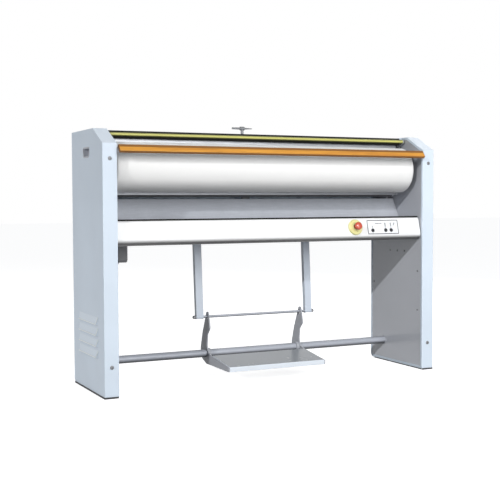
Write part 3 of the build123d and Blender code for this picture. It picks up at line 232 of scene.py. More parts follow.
def grain(tree, scale, stretch=(1, 1, 1), detail=3.0, rough=0.5):
    # noise from the piece's own coordinates, drawn out along an axis where stretch is small
    spot = addNode(tree, "TexCoord").outputs["Object"]
    mapped = addNode(tree, "Mapping", {"Vector": spot, "Scale": stretch}).outputs[0]
    look = {"Vector": mapped, "Scale": scale, "Detail": detail, "Roughness": rough}
    return addNode(tree, "TexNoise", look).outputs["Fac"]


def raiseSurface(shader, height, distance, strength, under):
    # bump over another normal, such as that of rounded edges
    bump = addNode(shader.id_data, "Bump", {"Height": height, "Distance": distance, "Strength": strength})
    if under:
        feed(bump.inputs["Normal"], under)
    feed(shader.inputs["Normal"], bump.outputs[0])
    return bump.outputs[0]


def roundedEdge(tree, radius):
    return addNode(tree, "Bevel", {"Radius": radius}, samples=4).outputs[0]


def facing(tree, direction):
    # how far a face looks along a direction, from -1 to 1
    normal = addNode(tree, "NewGeometry").outputs["Normal"]
    return addNode(tree, "VectorMath", {0: normal, 1: direction}, operation="DOT_PRODUCT").outputs["Value"]


def edgeMask(tree, radius, sharpness=6.0):
    # 1 along the edges, 0 on the flats
    turned = facing(tree, roundedEdge(tree, radius))
    return spread(turned, 1.0 - 1.0 / sharpness, 0.995, (1.0, 0.0))


def cornerDirtAndShade(tree, reach):
    # 1 in the corners, 0 in the open, for dirt and painted shade in the corners
    clear = addNode(tree, "AmbientOcclusion", {"Distance": reach}, samples=4).outputs["AO"]
    return spread(clear, 0.45, 0.95, (1.0, 0.0))


def paintFinish(name, colour, roughness, peel=0.00006, dirtAndShade=0.10, wear=0.0, coat=0.0, coatRoughness=0.18,
                shine=0.5, paintedTopLight=0.0):
    facts = {"mottleScale": 3.0, "peelScale": 950.0, "smudgeScale": 9.0, "wearScale": 60.0, "edge": 0.0012,
             "topLightColour": (0.83, 0.90, 0.97), "bareMetal": (0.35, 0.36, 0.38), "cornerReach": 0.02}
    material, tree, shader = newFinish(name, colour, roughness, Coat_Weight=coat,
                                       Coat_Roughness=coatRoughness, Specular_IOR_Level=shine)
    mottle = spread(grain(tree, facts["mottleScale"]), 0.35, 0.7)
    tone = blendColours(mottle, colour, toned(colour, 0.93))
    # painted light: faces that look upward are lightened toward a pale sky blue
    if paintedTopLight:
        upward = spread(facing(tree, (0, 0, 1)), 0.02, 0.22, (0.0, paintedTopLight))
        tone = blendColours(upward, tone, facts["topLightColour"])
    # dirt and painted shade: corners and recesses are darkened
    tone = blendColours(times(cornerDirtAndShade(tree, facts["cornerReach"]), dirtAndShade), tone, toned(colour, 0.35))
    if wear:
        chips = spread(grain(tree, facts["wearScale"]), 0.45, 0.65)
        bare = times(edgeMask(tree, facts["edge"]), chips)
        tone = blendColours(times(bare, wear), tone, facts["bareMetal"])
    feed(shader.inputs["Base Color"], tone)
    smudges = grain(tree, facts["smudgeScale"], detail=5.0)
    feed(shader.inputs["Roughness"], spread(smudges, 0.3, 0.7, (roughness * 0.93, roughness * 1.08)))
    raiseSurface(shader, grain(tree, facts["peelScale"], detail=1.0), peel * 4, 0.35,
                 roundedEdge(tree, facts["edge"]))
    return material


def metalFinish(name, colour, roughness, stretch, lineScale=420.0, spots=0.0, metallic=1.0, shine=0.5):
    facts = {"scratch": 0.00004, "edge": 0.0006, "cloudScale": 14.0, "crystalScale": 120.0}
    material, tree, shader = newFinish(name, colour, roughness, metallic, Specular_IOR_Level=shine)
    lines = grain(tree, lineScale, stretch, detail=4.0, rough=0.6)
    clouds = grain(tree, facts["cloudScale"], detail=4.0)
    tone = blendColours(spread(lines, 0.3, 0.7), colour, toned(colour, 0.86))
    tone = blendColours(spread(clouds, 0.4, 0.8, (0.0, 0.45)), tone, toned(colour, 0.80))
    if spots:
        look = {"Vector": addNode(tree, "TexCoord").outputs["Object"], "Scale": facts["crystalScale"]}
        crystals = addNode(tree, "TexVoronoi", look, feature="F1").outputs["Color"]
        shade = addNode(tree, "SeparateColor", {0: crystals}).outputs[0]
        tone = blendColours(times(shade, spots), tone, toned(colour, 0.7))
    feed(shader.inputs["Base Color"], tone)
    feed(shader.inputs["Roughness"], spread(lines, 0.3, 0.7, (roughness * 0.8, roughness * 1.25)))
    raiseSurface(shader, lines, facts["scratch"], 0.4, roundedEdge(tree, facts["edge"]))
    return material


def clothFinish(name, colour, pitch, fuzz):
    # plain weave: warp and weft threads as two crossed waves, one hiding the other in turn
    facts = {"threadDepth": 0.00025, "foldScale": 22.0, "foldDepth": 0.0012, "slubScale": 90.0, "underShade": 0.6}
    material, tree, shader = newFinish(name, colour, 0.92, Sheen_Weight=fuzz, Sheen_Roughness=0.45)
    spot = addNode(tree, "TexCoord").outputs["Object"]
    threads = {"Vector": spot, "Scale": 0.31 / pitch, "Distortion": 0.6, "Detail": 1.0}
    warp, weft = (addNode(tree, "TexWave", threads, wave_type="BANDS", bands_direction=axis) for axis in "XZ")
    weave = times(warp.outputs["Fac"], weft.outputs["Fac"])
    slub = grain(tree, facts["slubScale"], (0.2, 1, 1), detail=4.0)
    tone = blendColours(spread(weave, 0.0, 0.5, (0.35, 0.0)), colour, toned(colour, 0.82))
    tone = blendColours(spread(slub, 0.5, 0.8, (0.0, 0.3)), tone, toned(colour, 0.92))
    # painted shade: the cloth is darkened where the roll runs close to the shoe and the tray
    tone = blendColours(times(cornerDirtAndShade(tree, 0.06), 0.6), tone, toned(colour, 0.5))
    # painted shade: the roll's underside is darkened
    below = spread(facing(tree, (0, 0, -1)), 0.50, 0.95, (0.0, facts["underShade"]))
    feed(shader.inputs["Base Color"], blendColours(below, tone, toned(colour, 0.35)))
    folds = grain(tree, facts["foldScale"], (0.35, 1, 1), detail=2.0)
    soft = raiseSurface(shader, folds, facts["foldDepth"], 0.35, None)
    raiseSurface(shader, weave, facts["threadDepth"], 0.5, soft)
    return material


def feltFinish(name, colour, scale=700.0):
    material, tree, shader = newFinish(name, colour, 0.97, Sheen_Weight=0.5, Sheen_Roughness=0.6)
    fibres = grain(tree, scale, detail=8.0, rough=0.8)
    tufts = grain(tree, scale / 12, detail=3.0)
    tone = blendColours(spread(fibres, 0.35, 0.65), colour, toned(colour, 0.72))
    tone = blendColours(spread(tufts, 0.4, 0.8, (0.0, 0.5)), tone, toned(colour, 0.85))
    feed(shader.inputs["Base Color"], tone)
    raiseSurface(shader, fibres, 0.0006, 0.7, None)
    return material


def rubberFinish(name, colour, roughness):
    material, tree, shader = newFinish(name, colour, roughness, Specular_IOR_Level=0.2)
    skin = grain(tree, 1400.0, detail=2.0)
    bloom = grain(tree, 35.0, detail=5.0)
    tone = blendColours(spread(bloom, 0.4, 0.75, (0.0, 0.6)), colour, toned(colour, 1.5, 0.012))
    feed(shader.inputs["Base Color"], tone)
    feed(shader.inputs["Roughness"], spread(bloom, 0.3, 0.7, (roughness * 0.85, roughness * 1.15)))
    raiseSurface(shader, skin, 0.0001, 0.5, roundedEdge(tree, 0.0005))
    return material


def mouldedFinish(name, colour, roughness, glow=0.0, coat=0.0):
    facts = {"edge": 0.0008, "glowReach": (0.004, 0.002, 0.001)}
    material, tree, shader = newFinish(name, colour, roughness, Subsurface_Weight=glow, Coat_Weight=coat,
                                       Coat_Roughness=0.06, Subsurface_Radius=facts["glowReach"],
                                       Subsurface_Scale=1.0)
    spark = grain(tree, 1800.0, detail=1.0)
    cloud = grain(tree, 40.0, detail=3.0)
    tone = blendColours(spread(cloud, 0.35, 0.75, (0.0, 0.5)), colour, toned(colour, 0.88))
    tone = blendColours(times(edgeMask(tree, facts["edge"]), 0.12), tone, toned(colour, 1.3, 0.02))
    feed(shader.inputs["Base Color"], tone)
    feed(shader.inputs["Roughness"], spread(cloud, 0.3, 0.7, (roughness * 0.8, roughness * 1.2)))
    raiseSurface(shader, spark, 0.00008, 0.35, roundedEdge(tree, facts["edge"]))
    return material


def castFinish(name, colour, roughness):
    material, tree, shader = newFinish(name, colour, roughness)
    sand = grain(tree, 520.0, detail=4.0, rough=0.6)
    patches = grain(tree, 18.0, detail=4.0)
    tone = blendColours(spread(patches, 0.4, 0.75), colour, toned(colour, 0.72))
    tone = blendColours(times(edgeMask(tree, 0.0012), 0.35), tone, toned(colour, 2.2))
    tone = blendColours(times(cornerDirtAndShade(tree, 0.012), 0.5), tone, toned(colour, 0.4))
    feed(shader.inputs["Base Color"], tone)
    raiseSurface(shader, sand, 0.00045, 0.5, roundedEdge(tree, 0.001))
    return material


def woodFinish():
    # long grain along the board, pores, darker edges and sides that are partly stain and partly painted
    # shade, a painted shade line along the upper margin, clear varnish
    facts = {
        "pale": (0.81, 0.405, 0.060),
        "dark": (0.54, 0.220, 0.030),
        "streak": (0.66, 0.285, 0.040),
        "edge": (0.15, 0.057, 0.013),
        "ringScale": 70.0,
        "poreScale": 520.0,
        "edgeRadius": 0.0045,
        "faces": (0.0, -0.80, 0.60),
        "margin": (0.9715, 0.9735),  # heights between which the painted shade line along the upper margin starts
    }
    edge = facts["edge"]
    material, tree, shader = newFinish("varnishedBeech", facts["pale"], 0.50, Coat_Weight=0.10,
                                       Coat_Roughness=0.35, Specular_IOR_Level=0.3)
    rings = grain(tree, facts["ringScale"], (0.035, 1.0, 1.6), detail=5.0, rough=0.55)
    pores = grain(tree, facts["poreScale"], (0.03, 1.0, 1.0), detail=3.0)
    slow = grain(tree, 2.2, (1.0, 0.2, 0.2), detail=2.0)
    tone = blendColours(spread(rings, 0.36, 0.66), facts["pale"], facts["dark"])
    tone = blendColours(spread(slow, 0.35, 0.75, (0.0, 0.35)), tone, facts["streak"])
    tone = blendColours(spread(pores, 0.55, 0.72, (0.0, 0.45)), tone, edge)
    # darker along the edges: partly stain, partly painted shade
    tone = blendColours(times(edgeMask(tree, facts["edgeRadius"], 4.0), 0.85), tone, edge)
    # the narrow sawn sides face away from the sloped front and are darker: partly stained end grain, partly
    # painted shade
    away = addNode(tree, "Math", {0: facing(tree, facts["faces"])}, operation="ABSOLUTE").outputs[0]
    tone = blendColours(spread(away, 0.55, 0.85, (0.8, 0.0)), tone, edge)
    # painted shade: a dark line along the upper margin of the front face
    spot = addNode(tree, "TexCoord").outputs["Object"]
    height = addNode(tree, "SeparateXYZ", {0: spot}).outputs["Z"]
    tone = blendColours(spread(height, *facts["margin"], (0.0, 0.85)), tone, edge)
    feed(shader.inputs["Base Color"], tone)
    feed(shader.inputs["Roughness"], spread(pores, 0.3, 0.7, (0.44, 0.58)))
    raiseSurface(shader, pores, 0.00012, 0.35, roundedEdge(tree, 0.0012))
    return material


def paintedShade(material, direction, low, high, amount, darkness=0.13):
    # painted shade: darkens the faces that look along a direction
    tree = material.node_tree
    colour = tree.nodes["Principled BSDF"].inputs["Base Color"]
    cover = spread(facing(tree, direction), low, high, (0.0, amount))
    feed(colour, blendColours(cover, colour.links[0].from_socket, toned(colour.default_value[:3], darkness)))


finishes = {
    "cover_paint": paintFinish("coverPaint", (0.70, 0.79, 0.89), 0.42, dirtAndShade=0.4, shine=0.15, paintedTopLight=0.45),
    "panel_paint": paintFinish("panelPaint", (0.45, 0.467, 0.507), 0.30, peel=0.00001, dirtAndShade=0.15, coat=0.35,
                               coatRoughness=0.06),
    "housing_paint": paintFinish("housingPaint", (0.88, 0.885, 0.89), 0.34, peel=0.00003, dirtAndShade=0.08),
    "tray_steel": metalFinish("traySteel", (0.45, 0.472, 0.518), 0.62, (0.04, 1, 1), spots=0.15, metallic=0.0,
                              shine=0.12),
    "roll_cloth": clothFinish("rollCotton", (0.90, 0.90, 0.89), 0.0011, 0.25),
    "roll_felt": feltFinish("needledFelt", (0.62, 0.58, 0.50)),
    "roll_steel": metalFinish("rollSteel", (0.40, 0.41, 0.43), 0.38, (0.06, 1, 1)),
    "bright_steel": metalFinish("brightSteel", (0.45, 0.475, 0.53), 0.38, (0.02, 1, 1), lineScale=900.0,
                                metallic=0.05, shine=0.25),
    "zinc_steel": metalFinish("zincSteel", (0.60, 0.63, 0.67), 0.40, (1, 1, 0.1), spots=0.35),
    "bracket_steel": paintFinish("bracketPaint", (0.42, 0.436, 0.474), 0.42, wear=0.4, dirtAndShade=0.2, shine=0.3),
    "board_wood": woodFinish(),
    "guard_yellow": paintFinish("guardYellow", (0.52, 0.505, 0.14), 0.45, wear=0.5, dirtAndShade=0.12),
    "strip_black": rubberFinish("stripRubber", (0.012, 0.012, 0.011), 0.85),
    "dark_plastic": mouldedFinish("darkPlastic", (0.012, 0.012, 0.014), 0.42),
    "shoe_aluminium": metalFinish("shoeAluminium", (0.31, 0.32, 0.34), 0.45, (0.02, 1, 1), lineScale=700.0),
    "machine_grey": castFinish("machineGrey", (0.19, 0.195, 0.205), 0.55),
    "stop_yellow": mouldedFinish("stopYellow", (0.74, 0.70, 0.32), 0.34, 0.05),
    "stop_red": mouldedFinish("stopRed", (0.57, 0.066, 0.026), 0.24, 0.04, coat=0.5),
    "label_white": mouldedFinish("labelFilm", (0.84, 0.86, 0.89), 0.38),
    "insulation": feltFinish("glassBlanket", (0.66, 0.60, 0.40), 500.0),
    "foot_rubber": rubberFinish("footRubber", (0.060, 0.060, 0.063), 0.80),
    "belt_rubber": rubberFinish("beltRubber", (0.018, 0.018, 0.018), 0.70),
}

above, below = (0, 0, 1), (0, 0, -1)
# painted shade: the housing's underside is darkened
paintedShade(finishes["housing_paint"], below, 0.15, 0.60, 1.0, 0.10)
# painted shade: the bright steel is darkened on its underside and along its top
paintedShade(finishes["bright_steel"], below, 0.0, 0.65, 0.95, 0.15)
paintedShade(finishes["bright_steel"], above, 0.80, 1.0, 0.7, 0.3)
# painted shade: the yellow bar is darkened on its top and underside, as on a shaded round bar
paintedShade(finishes["guard_yellow"], above, 0.45, 0.80, 0.8)
paintedShade(finishes["guard_yellow"], below, 0.25, 0.60, 1.0)

# finishes that a few nodes have in place of their slot's own
treadFinish = paintFinish("treadPaint", (0.82, 0.88, 0.95), 0.26, peel=0.00002, wear=0.25, dirtAndShade=0.12,
                          coat=0.13, shine=0.25)
# painted shade: the tread plate's top is darkened against its brighter front lip
paintedShade(treadFinish, above, 0.5, 0.9, 0.80, 0.19)
leverFinish = paintFinish("leverPaint", (0.57, 0.63, 0.715), 0.38, wear=0.15, dirtAndShade=0.15)
# painted shade: the grip pockets are a darker grey than the cover paint, for the shade inside the recess
pocketFinish = mouldedFinish("gripPocket", (0.52, 0.54, 0.585), 0.5)
# painted highlight: the louvres' beads take a lighter copy of the cover paint
louvreHighlightFinish = paintFinish("louvreEdge", (0.90, 0.95, 0.97), 0.35, shine=0.3)
# painted shade: the shoe's back cover is nearly black, standing in for the shade in the gap behind the roll
paintedShadeSheet = metalFinish("paintedShadeSheet", (0.090, 0.092, 0.098), 0.6, (0.04, 1, 1), metallic=0.3, shine=0.2)
blackenedSteel = metalFinish("blackenedSteel", (0.22, 0.225, 0.235), 0.45, (1, 1, 0.1), metallic=0.5,
                             shine=0.3)
plainFinish = {"pedal_plate": treadFinish, "drop_levers": leverFinish, "grip_cups": pocketFinish,
               "hand_screw": blackenedSteel, "screw_nut": blackenedSteel, "rod_caps": blackenedSteel,
               "shoe_back_cover": paintedShadeSheet}

slotOfNode = {part["node"]: part["material_slot"] for part in frame["record"]["subparts"]}
for name, piece in nodes.items():
    finish = plainFinish.get(name, finishes[slotOfNode[name]])
    piece.data.materials.clear()
    piece.data.materials.append(finish)
print("ironer: finishes on", len(nodes), "nodes")


# tools for the pieces below

def meshOf(name, points, faces):
    mesh = bpy.data.meshes.new(name)
    mesh.from_pydata(points, [], faces)
    mesh.validate()
    return mesh


def ringFaces(rings, around, closed=False):
    # quads between rings of points that lie one after another
    faces = []
    for ring in range(rings if closed else rings - 1):
        low, high = ring * around, ((ring + 1) % rings) * around
        for step in range(around):
            after = (step + 1) % around
            faces.append((low + step, low + after, high + after, high + step))
    return faces


def bandFaces(bm, low, high):
    # quads between two rings of points
    for k in range(len(low)):
        after = (k + 1) % len(low)
        bm.faces.new((low[k], low[after], high[after], high[k]))


def fullTurn(count):
    return [2 * math.pi * k / count for k in range(count)]


def circle(radius, count=32, height=None):
    # points of a circle, flat or at a height
    tail = () if height is None else (height,)
    return [(radius * math.cos(angle), radius * math.sin(angle), *tail) for angle in fullTurn(count)]


def softStep(value, low, high):
    share = min(1.0, max(0.0, (value - low) / (high - low)))
    return share * share * (3 - 2 * share)


def meshFrom(name, bm):
    mesh = bpy.data.meshes.new(name)
    bm.to_mesh(mesh)
    bm.free()
    return mesh


def joinMeshes(name, meshes, outward=False):
    bm = bmesh.new()
    for mesh in meshes:
        bm.from_mesh(mesh)
        bpy.data.meshes.remove(mesh)
    if outward:
        bmesh.ops.recalc_face_normals(bm, faces=bm.faces)
    return meshFrom(name, bm)


def closedStrip(name, points, around):
    # tube through rings of points, with a face over each end
    faces = ringFaces(len(points) // around, around)
    faces += [tuple(reversed(range(around))), tuple(range(len(points) - around, len(points)))]
    return meshOf(name, points, faces)


def addPiece(name, meshes, body, slotName, finish=None, smooth=True, creaseAngle=None):
    # one mesh or several as a piece on a body, in its slot's finish unless another is given
    mesh = joinMeshes(name, meshes) if isinstance(meshes, list) else meshes
    piece = bpy.data.objects.new(name, mesh)
    bpy.context.scene.collection.objects.link(piece)
    mesh.materials.append(finish or finishes[slotName])
    for face in mesh.polygons:
        face.use_smooth = smooth
    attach(piece, body)
    if creaseAngle:
        crease = piece.modifiers.new("edges", "EDGE_SPLIT")
        crease.split_angle = math.radians(creaseAngle)
    return piece


# the roll: wrapped felt under a drawn-in cotton cover

rollLow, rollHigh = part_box("roll_cloth")
rollCentre = ((rollLow[1] + rollHigh[1]) / 2, (rollLow[2] + rollHigh[2]) / 2)
rollRadius = (rollHigh[2] - rollLow[2]) / 2

coverFacts = {
    "around": 180,
    "shoulder": 0.0095,
    "mouth": 0.0750,  # radius of the drawn-in opening
    "gather": (0.001, 0.016),  # depths below the full radius between which the pleats grow
    "cloth": 0.0011,
    "pleats": 36,
    "pleatDepth": 0.0028,
    "seamAngle": 118.0,
    "seamWidth": 0.006,
    "seamRise": 0.0007,
    "ripple": 0.00028,
    "inset": 0.0008,
    "endGap": 0.0006,
    "runs": 60,
}


def aroundRoll(x, distance, angle):
    return x, rollCentre[0] + distance * math.cos(angle), rollCentre[1] + distance * math.sin(angle)


def coverProfile(facts, radius):
    # (x, radius) from the left mouth, over both shoulders, to the right mouth
    shoulder, gap, runs = facts["shoulder"], facts["endGap"], facts["runs"]
    end = [(-shoulder * (1 - math.sin(turn)), radius - shoulder * (1 - math.cos(turn)))
           for turn in (math.radians(degrees) for degrees in range(0, 91, 15))]
    end += [(0.0, radius - shoulder - (radius - shoulder - facts["mouth"]) * k / 7) for k in range(1, 8)]
    left = [(rollLow[0] + gap - x, r) for x, r in reversed(end)]
    right = [(rollHigh[0] - gap + x, r) for x, r in end]
    start, stop = left[-1][0], right[0][0]
    return left + [(start + (stop - start) * k / runs, radius) for k in range(1, runs)] + right


def makeRollCover():
    facts = coverFacts
    randomiser = random.Random(11)
    radius = rollRadius - facts["inset"]
    profile = coverProfile(facts, radius)
    pleatPhase = [randomiser.uniform(-0.5, 0.5) for _ in range(facts["pleats"])]
    pleatSize = [randomiser.uniform(0.55, 1.0) for _ in range(facts["pleats"])]
    seam, seamWidth, ripple = math.radians(facts["seamAngle"]), facts["seamWidth"], facts["ripple"]
    points = []
    for x, r in profile:
        drawn = softStep(radius - r, *facts["gather"])
        for angle in fullTurn(facts["around"]):
            turns = angle / (2 * math.pi) * facts["pleats"]
            index = int(turns) % facts["pleats"]
            phase = pleatPhase[index] * math.sin(math.pi * (turns % 1))
            wave = 0.5 - 0.5 * math.cos(2 * math.pi * turns + phase)
            dip = wave * pleatSize[index] * facts["pleatDepth"] * drawn
            waves = math.sin(41 * x + 3 * angle) + math.sin(17 * x - 5 * angle + 1.3)
            slack = ripple * waves * 0.5
            off = abs((angle - seam + math.pi) % (2 * math.pi) - math.pi) * r
            ridge = facts["seamRise"] * (1 - softStep(off, seamWidth * 0.4, seamWidth * 0.6))
            distance = r + (slack - ripple) * (1 - drawn) + ridge * (1 - drawn)
            points.append(aroundRoll(x - math.copysign(1, x) * dip, distance, angle))
    mesh = meshOf("rollCover", points, ringFaces(len(profile), facts["around"]))
    cover = addPiece("rollCover", mesh, "roll", "roll_cloth")
    thick = cover.modifiers.new("cloth", "SOLIDIFY")
    thick.thickness = facts["cloth"]
    thick.offset = -1
    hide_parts("roll_cloth")


def makeDrawCord():
    # the cord that draws the cover in, one ring of twisted line at each end
    facts = {"spots": 96, "sides": 8, "radius": 0.0022, "inset": 0.0032, "strands": 0.14, "twists": 20,
             "wander": (0.0006, 0.0004)}  # along the roll and outward
    rings = []
    for side, end in ((-1, rollLow[0]), (1, rollHigh[0])):
        points = []
        for angle in fullTurn(facts["spots"]):
            x = end - side * (facts["inset"] + facts["wander"][0] * math.sin(9 * angle))
            out = coverFacts["mouth"] + facts["wander"][1] * math.sin(14 * angle)
            middle = Vector(aroundRoll(x, out, angle))
            outward = Vector((0, math.cos(angle), math.sin(angle)))
            turned = angle * facts["twists"]
            for tilt in fullTurn(facts["sides"]):
                twist = tilt + turned
                size = facts["radius"] * (1 + facts["strands"] * math.cos(2 * (twist - turned) + angle * 60))
                away = math.cos(twist) * outward + math.sin(twist) * Vector((1, 0, 0))
                points.append(middle + size * away)
        rings.append(meshOf("cordRing", points, ringFaces(facts["spots"], facts["sides"], closed=True)))
    addPiece("coverDrawCord", rings, "roll", "roll_cloth")


def makeRollPadding():
    facts = {
        "inner": 0.0860,
        "inset": 0.0024,
        "layers": 4,
        "groove": 0.0006,
        "softness": 0.00025,
        "around": 144, "runs": 48, "innerRuns": 12,
        "rounding": (0.0075, 0.0035),  # from the end, where the round begins and its middle
        "bore": 0.0002,  # how far the inner face lies under the layers
        "firm": 0.004,  # this much next to the drum doesn't bulge
    }
    outer, runs, innerRuns = rollRadius - facts["inset"], facts["runs"], facts["innerRuns"]
    left, right = rollLow[0] + facts["inset"], rollHigh[0] - facts["inset"]
    wall = (outer - facts["inner"]) / facts["layers"]
    face = []
    for layer in range(facts["layers"]):
        low = facts["inner"] + layer * wall
        face += [(-facts["groove"], low), (0.0, low + wall * 0.25), (0.0, low + wall * 0.75)]
    begin, middle = facts["rounding"]
    face[-1] = (-middle, outer - middle)
    face.append((-begin, outer))
    loop = [(right + x, r) for x, r in face]
    loop += [(right + (left - right) * k / runs, outer) for k in range(1, runs)]
    loop += [(left - x, r) for x, r in reversed(face)]
    bore = facts["inner"] - facts["bore"]
    loop += [(left + (right - left) * k / innerRuns, bore) for k in range(1, innerRuns)]
    points = []
    for x, r in loop:
        for angle in fullTurn(facts["around"]):
            lump = facts["softness"] * math.sin(23 * angle + 31 * x) * math.sin(57 * x + 7 * angle)
            distance = r - facts["softness"] + (lump if r > facts["inner"] + facts["firm"] else 0)
            points.append(aroundRoll(x, distance, angle))
    mesh = meshOf("rollPadding", points, ringFaces(len(loop), facts["around"], closed=True))
    padding = addPiece("rollPadding", mesh, "roll", "roll_felt")
    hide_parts("roll_padding")


makeRollPadding()
makeRollCover()
makeDrawCord()
print("ironer: roll padding, cover and draw cord")


# screws with a cross recess, in place of the plain ones

def screwHead(centre, direction, radius, height):
    facts = {
        "around": 28,
        "arm": (0.17, 0.52),  # the cross's width and half length, of the head's radius
        "recess": 0.75,  # of the head's height
        "taper": (0.72, 0.8),  # the recess's floor, as shares of its mouth
        "turn": 31,  # sets each cross at an angle of its own
        "dome": ((1.0, 0.0), (1.0, 0.30), (0.95, 0.55), (0.84, 0.78), (0.68, 0.92), (0.60, 0.96)),
    }
    around = facts["around"]
    bm = bmesh.new()
    loops = [[bm.verts.new(point) for point in circle(radius * share, around, height * rise)]
             for share, rise in facts["dome"]]
    for low, high in zip(loops, loops[1:]):
        bandFaces(bm, low, high)
    half, arm = facts["arm"][0] * radius / 2, facts["arm"][1] * radius
    corners = [(arm, -half), (arm, half), (half, half), (half, arm), (-half, arm), (-half, half),
               (-arm, half), (-arm, -half), (-half, -half), (-half, -arm), (half, -arm), (half, -half)]
    top = facts["dome"][-1][1] * height
    cross = [bm.verts.new((x, y, top)) for x, y in corners]
    wide, high = facts["taper"]
    floor = [bm.verts.new((x * wide, y * high, top - facts["recess"] * height)) for x, y in corners]
    edges = [bm.edges.get((loops[-1][k], loops[-1][(k + 1) % around])) for k in range(around)]
    edges += [bm.edges.new((cross[k], cross[(k + 1) % len(cross)])) for k in range(len(cross))]
    bmesh.ops.triangle_fill(bm, use_beauty=True, edges=edges)
    bandFaces(bm, cross, floor)
    bm.faces.new(floor)
    bm.faces.new(list(reversed(loops[0])))
    bmesh.ops.recalc_face_normals(bm, faces=bm.faces)
    turn = Vector(direction).to_track_quat("Z", "Y").to_matrix().to_4x4()
    turn.translation = Vector(centre)
    bm.transform(turn @ Matrix.Rotation(sum(centre) * facts["turn"], 4, "Z"))
    return meshFrom("screwHead", bm)


def makeCoverScrews():
    facts = {"x": 0.7405, "heights": (0.122, 0.9275), "head": (0.0075, 0.0034)}  # a head's radius and height
    front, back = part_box("left_cover")[0][1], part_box("left_cover")[1][1]
    heads = []
    for side in (-1, 1):
        for z in facts["heights"]:
            for y, direction in ((front, (0, -1, 0)), (back, (0, 1, 0))):
                heads.append(screwHead((side * facts["x"], y, z), direction, *facts["head"]))
    piece = addPiece("coverScrewHeads", heads, "frame", "zinc_steel", blackenedSteel, creaseAngle=40)
    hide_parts("cover_screws")


def makePanelScrews():
    facts = {"x": 0.7125, "head": (0.0050, 0.0023),
             "both": ((-0.062, 0.530), (-0.005, 0.530), (-0.1645, 0.444), (0.189, 0.3735), (-0.1645, 0.2675)),
             "rightOnly": ((0.053, 0.530),)}
    heads = []
    for side in (-1, 1):
        for y, z in facts["both"] + (facts["rightOnly"] if side > 0 else ()):
            heads.append(screwHead((side * facts["x"], y, z), (-side, 0, 0), *facts["head"]))
    piece = addPiece("panelScrewHeads", heads, "frame", "zinc_steel", blackenedSteel, creaseAngle=40)
    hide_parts("panel_screws")


makeCoverScrews()
makePanelScrews()
print("ironer: screws")


# the control panel: marks, bezels and the stop button's details

def onFascia(x, height, lift=0.0):
    # a frame on the control housing's sloped face
    facts = {"front": -0.203, "setback": 0.0065, "low": 0.58875, "rise": 0.0965, "fall": 0.0255,
             "skin": 0.00075}
    lean = math.atan2(facts["fall"], facts["rise"])
    middle = facts["front"] + facts["setback"] + (height - facts["low"]) * math.tan(lean)
    out = Vector((0, -math.cos(lean), math.sin(lean)))
    across = Vector((1, 0, 0))
    matrix = Matrix((across, out.cross(across), out)).transposed().to_4x4()
    matrix.translation = Vector((x, middle, height)) + out * (facts["skin"] + lift)
    return matrix


def slab(outline, low, high, hole=None):
    # flat plate with an outline, and a hole's outline if it has one
    bm = bmesh.new()
    lines = [outline, hole] if hole else [outline]
    loops = [[bm.verts.new((x, y, z)) for x, y in line] for line in lines for z in (low, high)]
    for under, over in zip(loops[::2], loops[1::2]):
        bandFaces(bm, under, over)
    for start in (0, 1):
        edges = []
        for loop in loops[start::2]:
            edges += [bm.edges.get((loop[k], loop[(k + 1) % len(loop)])) for k in range(len(loop))]
        bmesh.ops.triangle_fill(bm, use_beauty=True, edges=edges)
    bmesh.ops.recalc_face_normals(bm, faces=bm.faces)
    return meshFrom("slab", bm)


def lathe(profile, around=40):
    # turned piece about its own z from (radius, height) points; a radius of 0 closes it
    points, faces, rings = [], [], []
    for radius, height in profile:
        if radius == 0:
            rings.append([len(points)])
            points.append((0, 0, height))
        else:
            rings.append([len(points) + k for k in range(around)])
            points += circle(radius, around, height)
    for low, high in zip(rings, rings[1:]):
        for k in range(around):
            after = (k + 1) % around
            if len(low) == 1:
                faces.append((low[0], high[after], high[k]))
            elif len(high) == 1:
                faces.append((low[k], low[after], high[0]))
            else:
                faces.append((low[k], low[after], high[after], high[k]))
    return meshOf("lathe", points, faces)


def roundedRectangle(width, height, corner):
    line, steps = [], 4
    for cx, cy, start in ((1, 1, 0), (-1, 1, 90), (-1, -1, 180), (1, -1, 270)):
        for k in range(steps + 1):
            angle = math.radians(start + 90 * k / steps)
            line.append((cx * (width / 2 - corner) + corner * math.cos(angle),
                         cy * (height / 2 - corner) + corner * math.sin(angle)))
    return line


def moved(mesh, matrix):
    mesh.transform(matrix)
    return mesh


inkFinish = mouldedFinish("markInk", (0.012, 0.012, 0.013), 0.5)
buttonSpots = (0.4595, 0.5265, 0.5550)
buttonHeight = 0.632


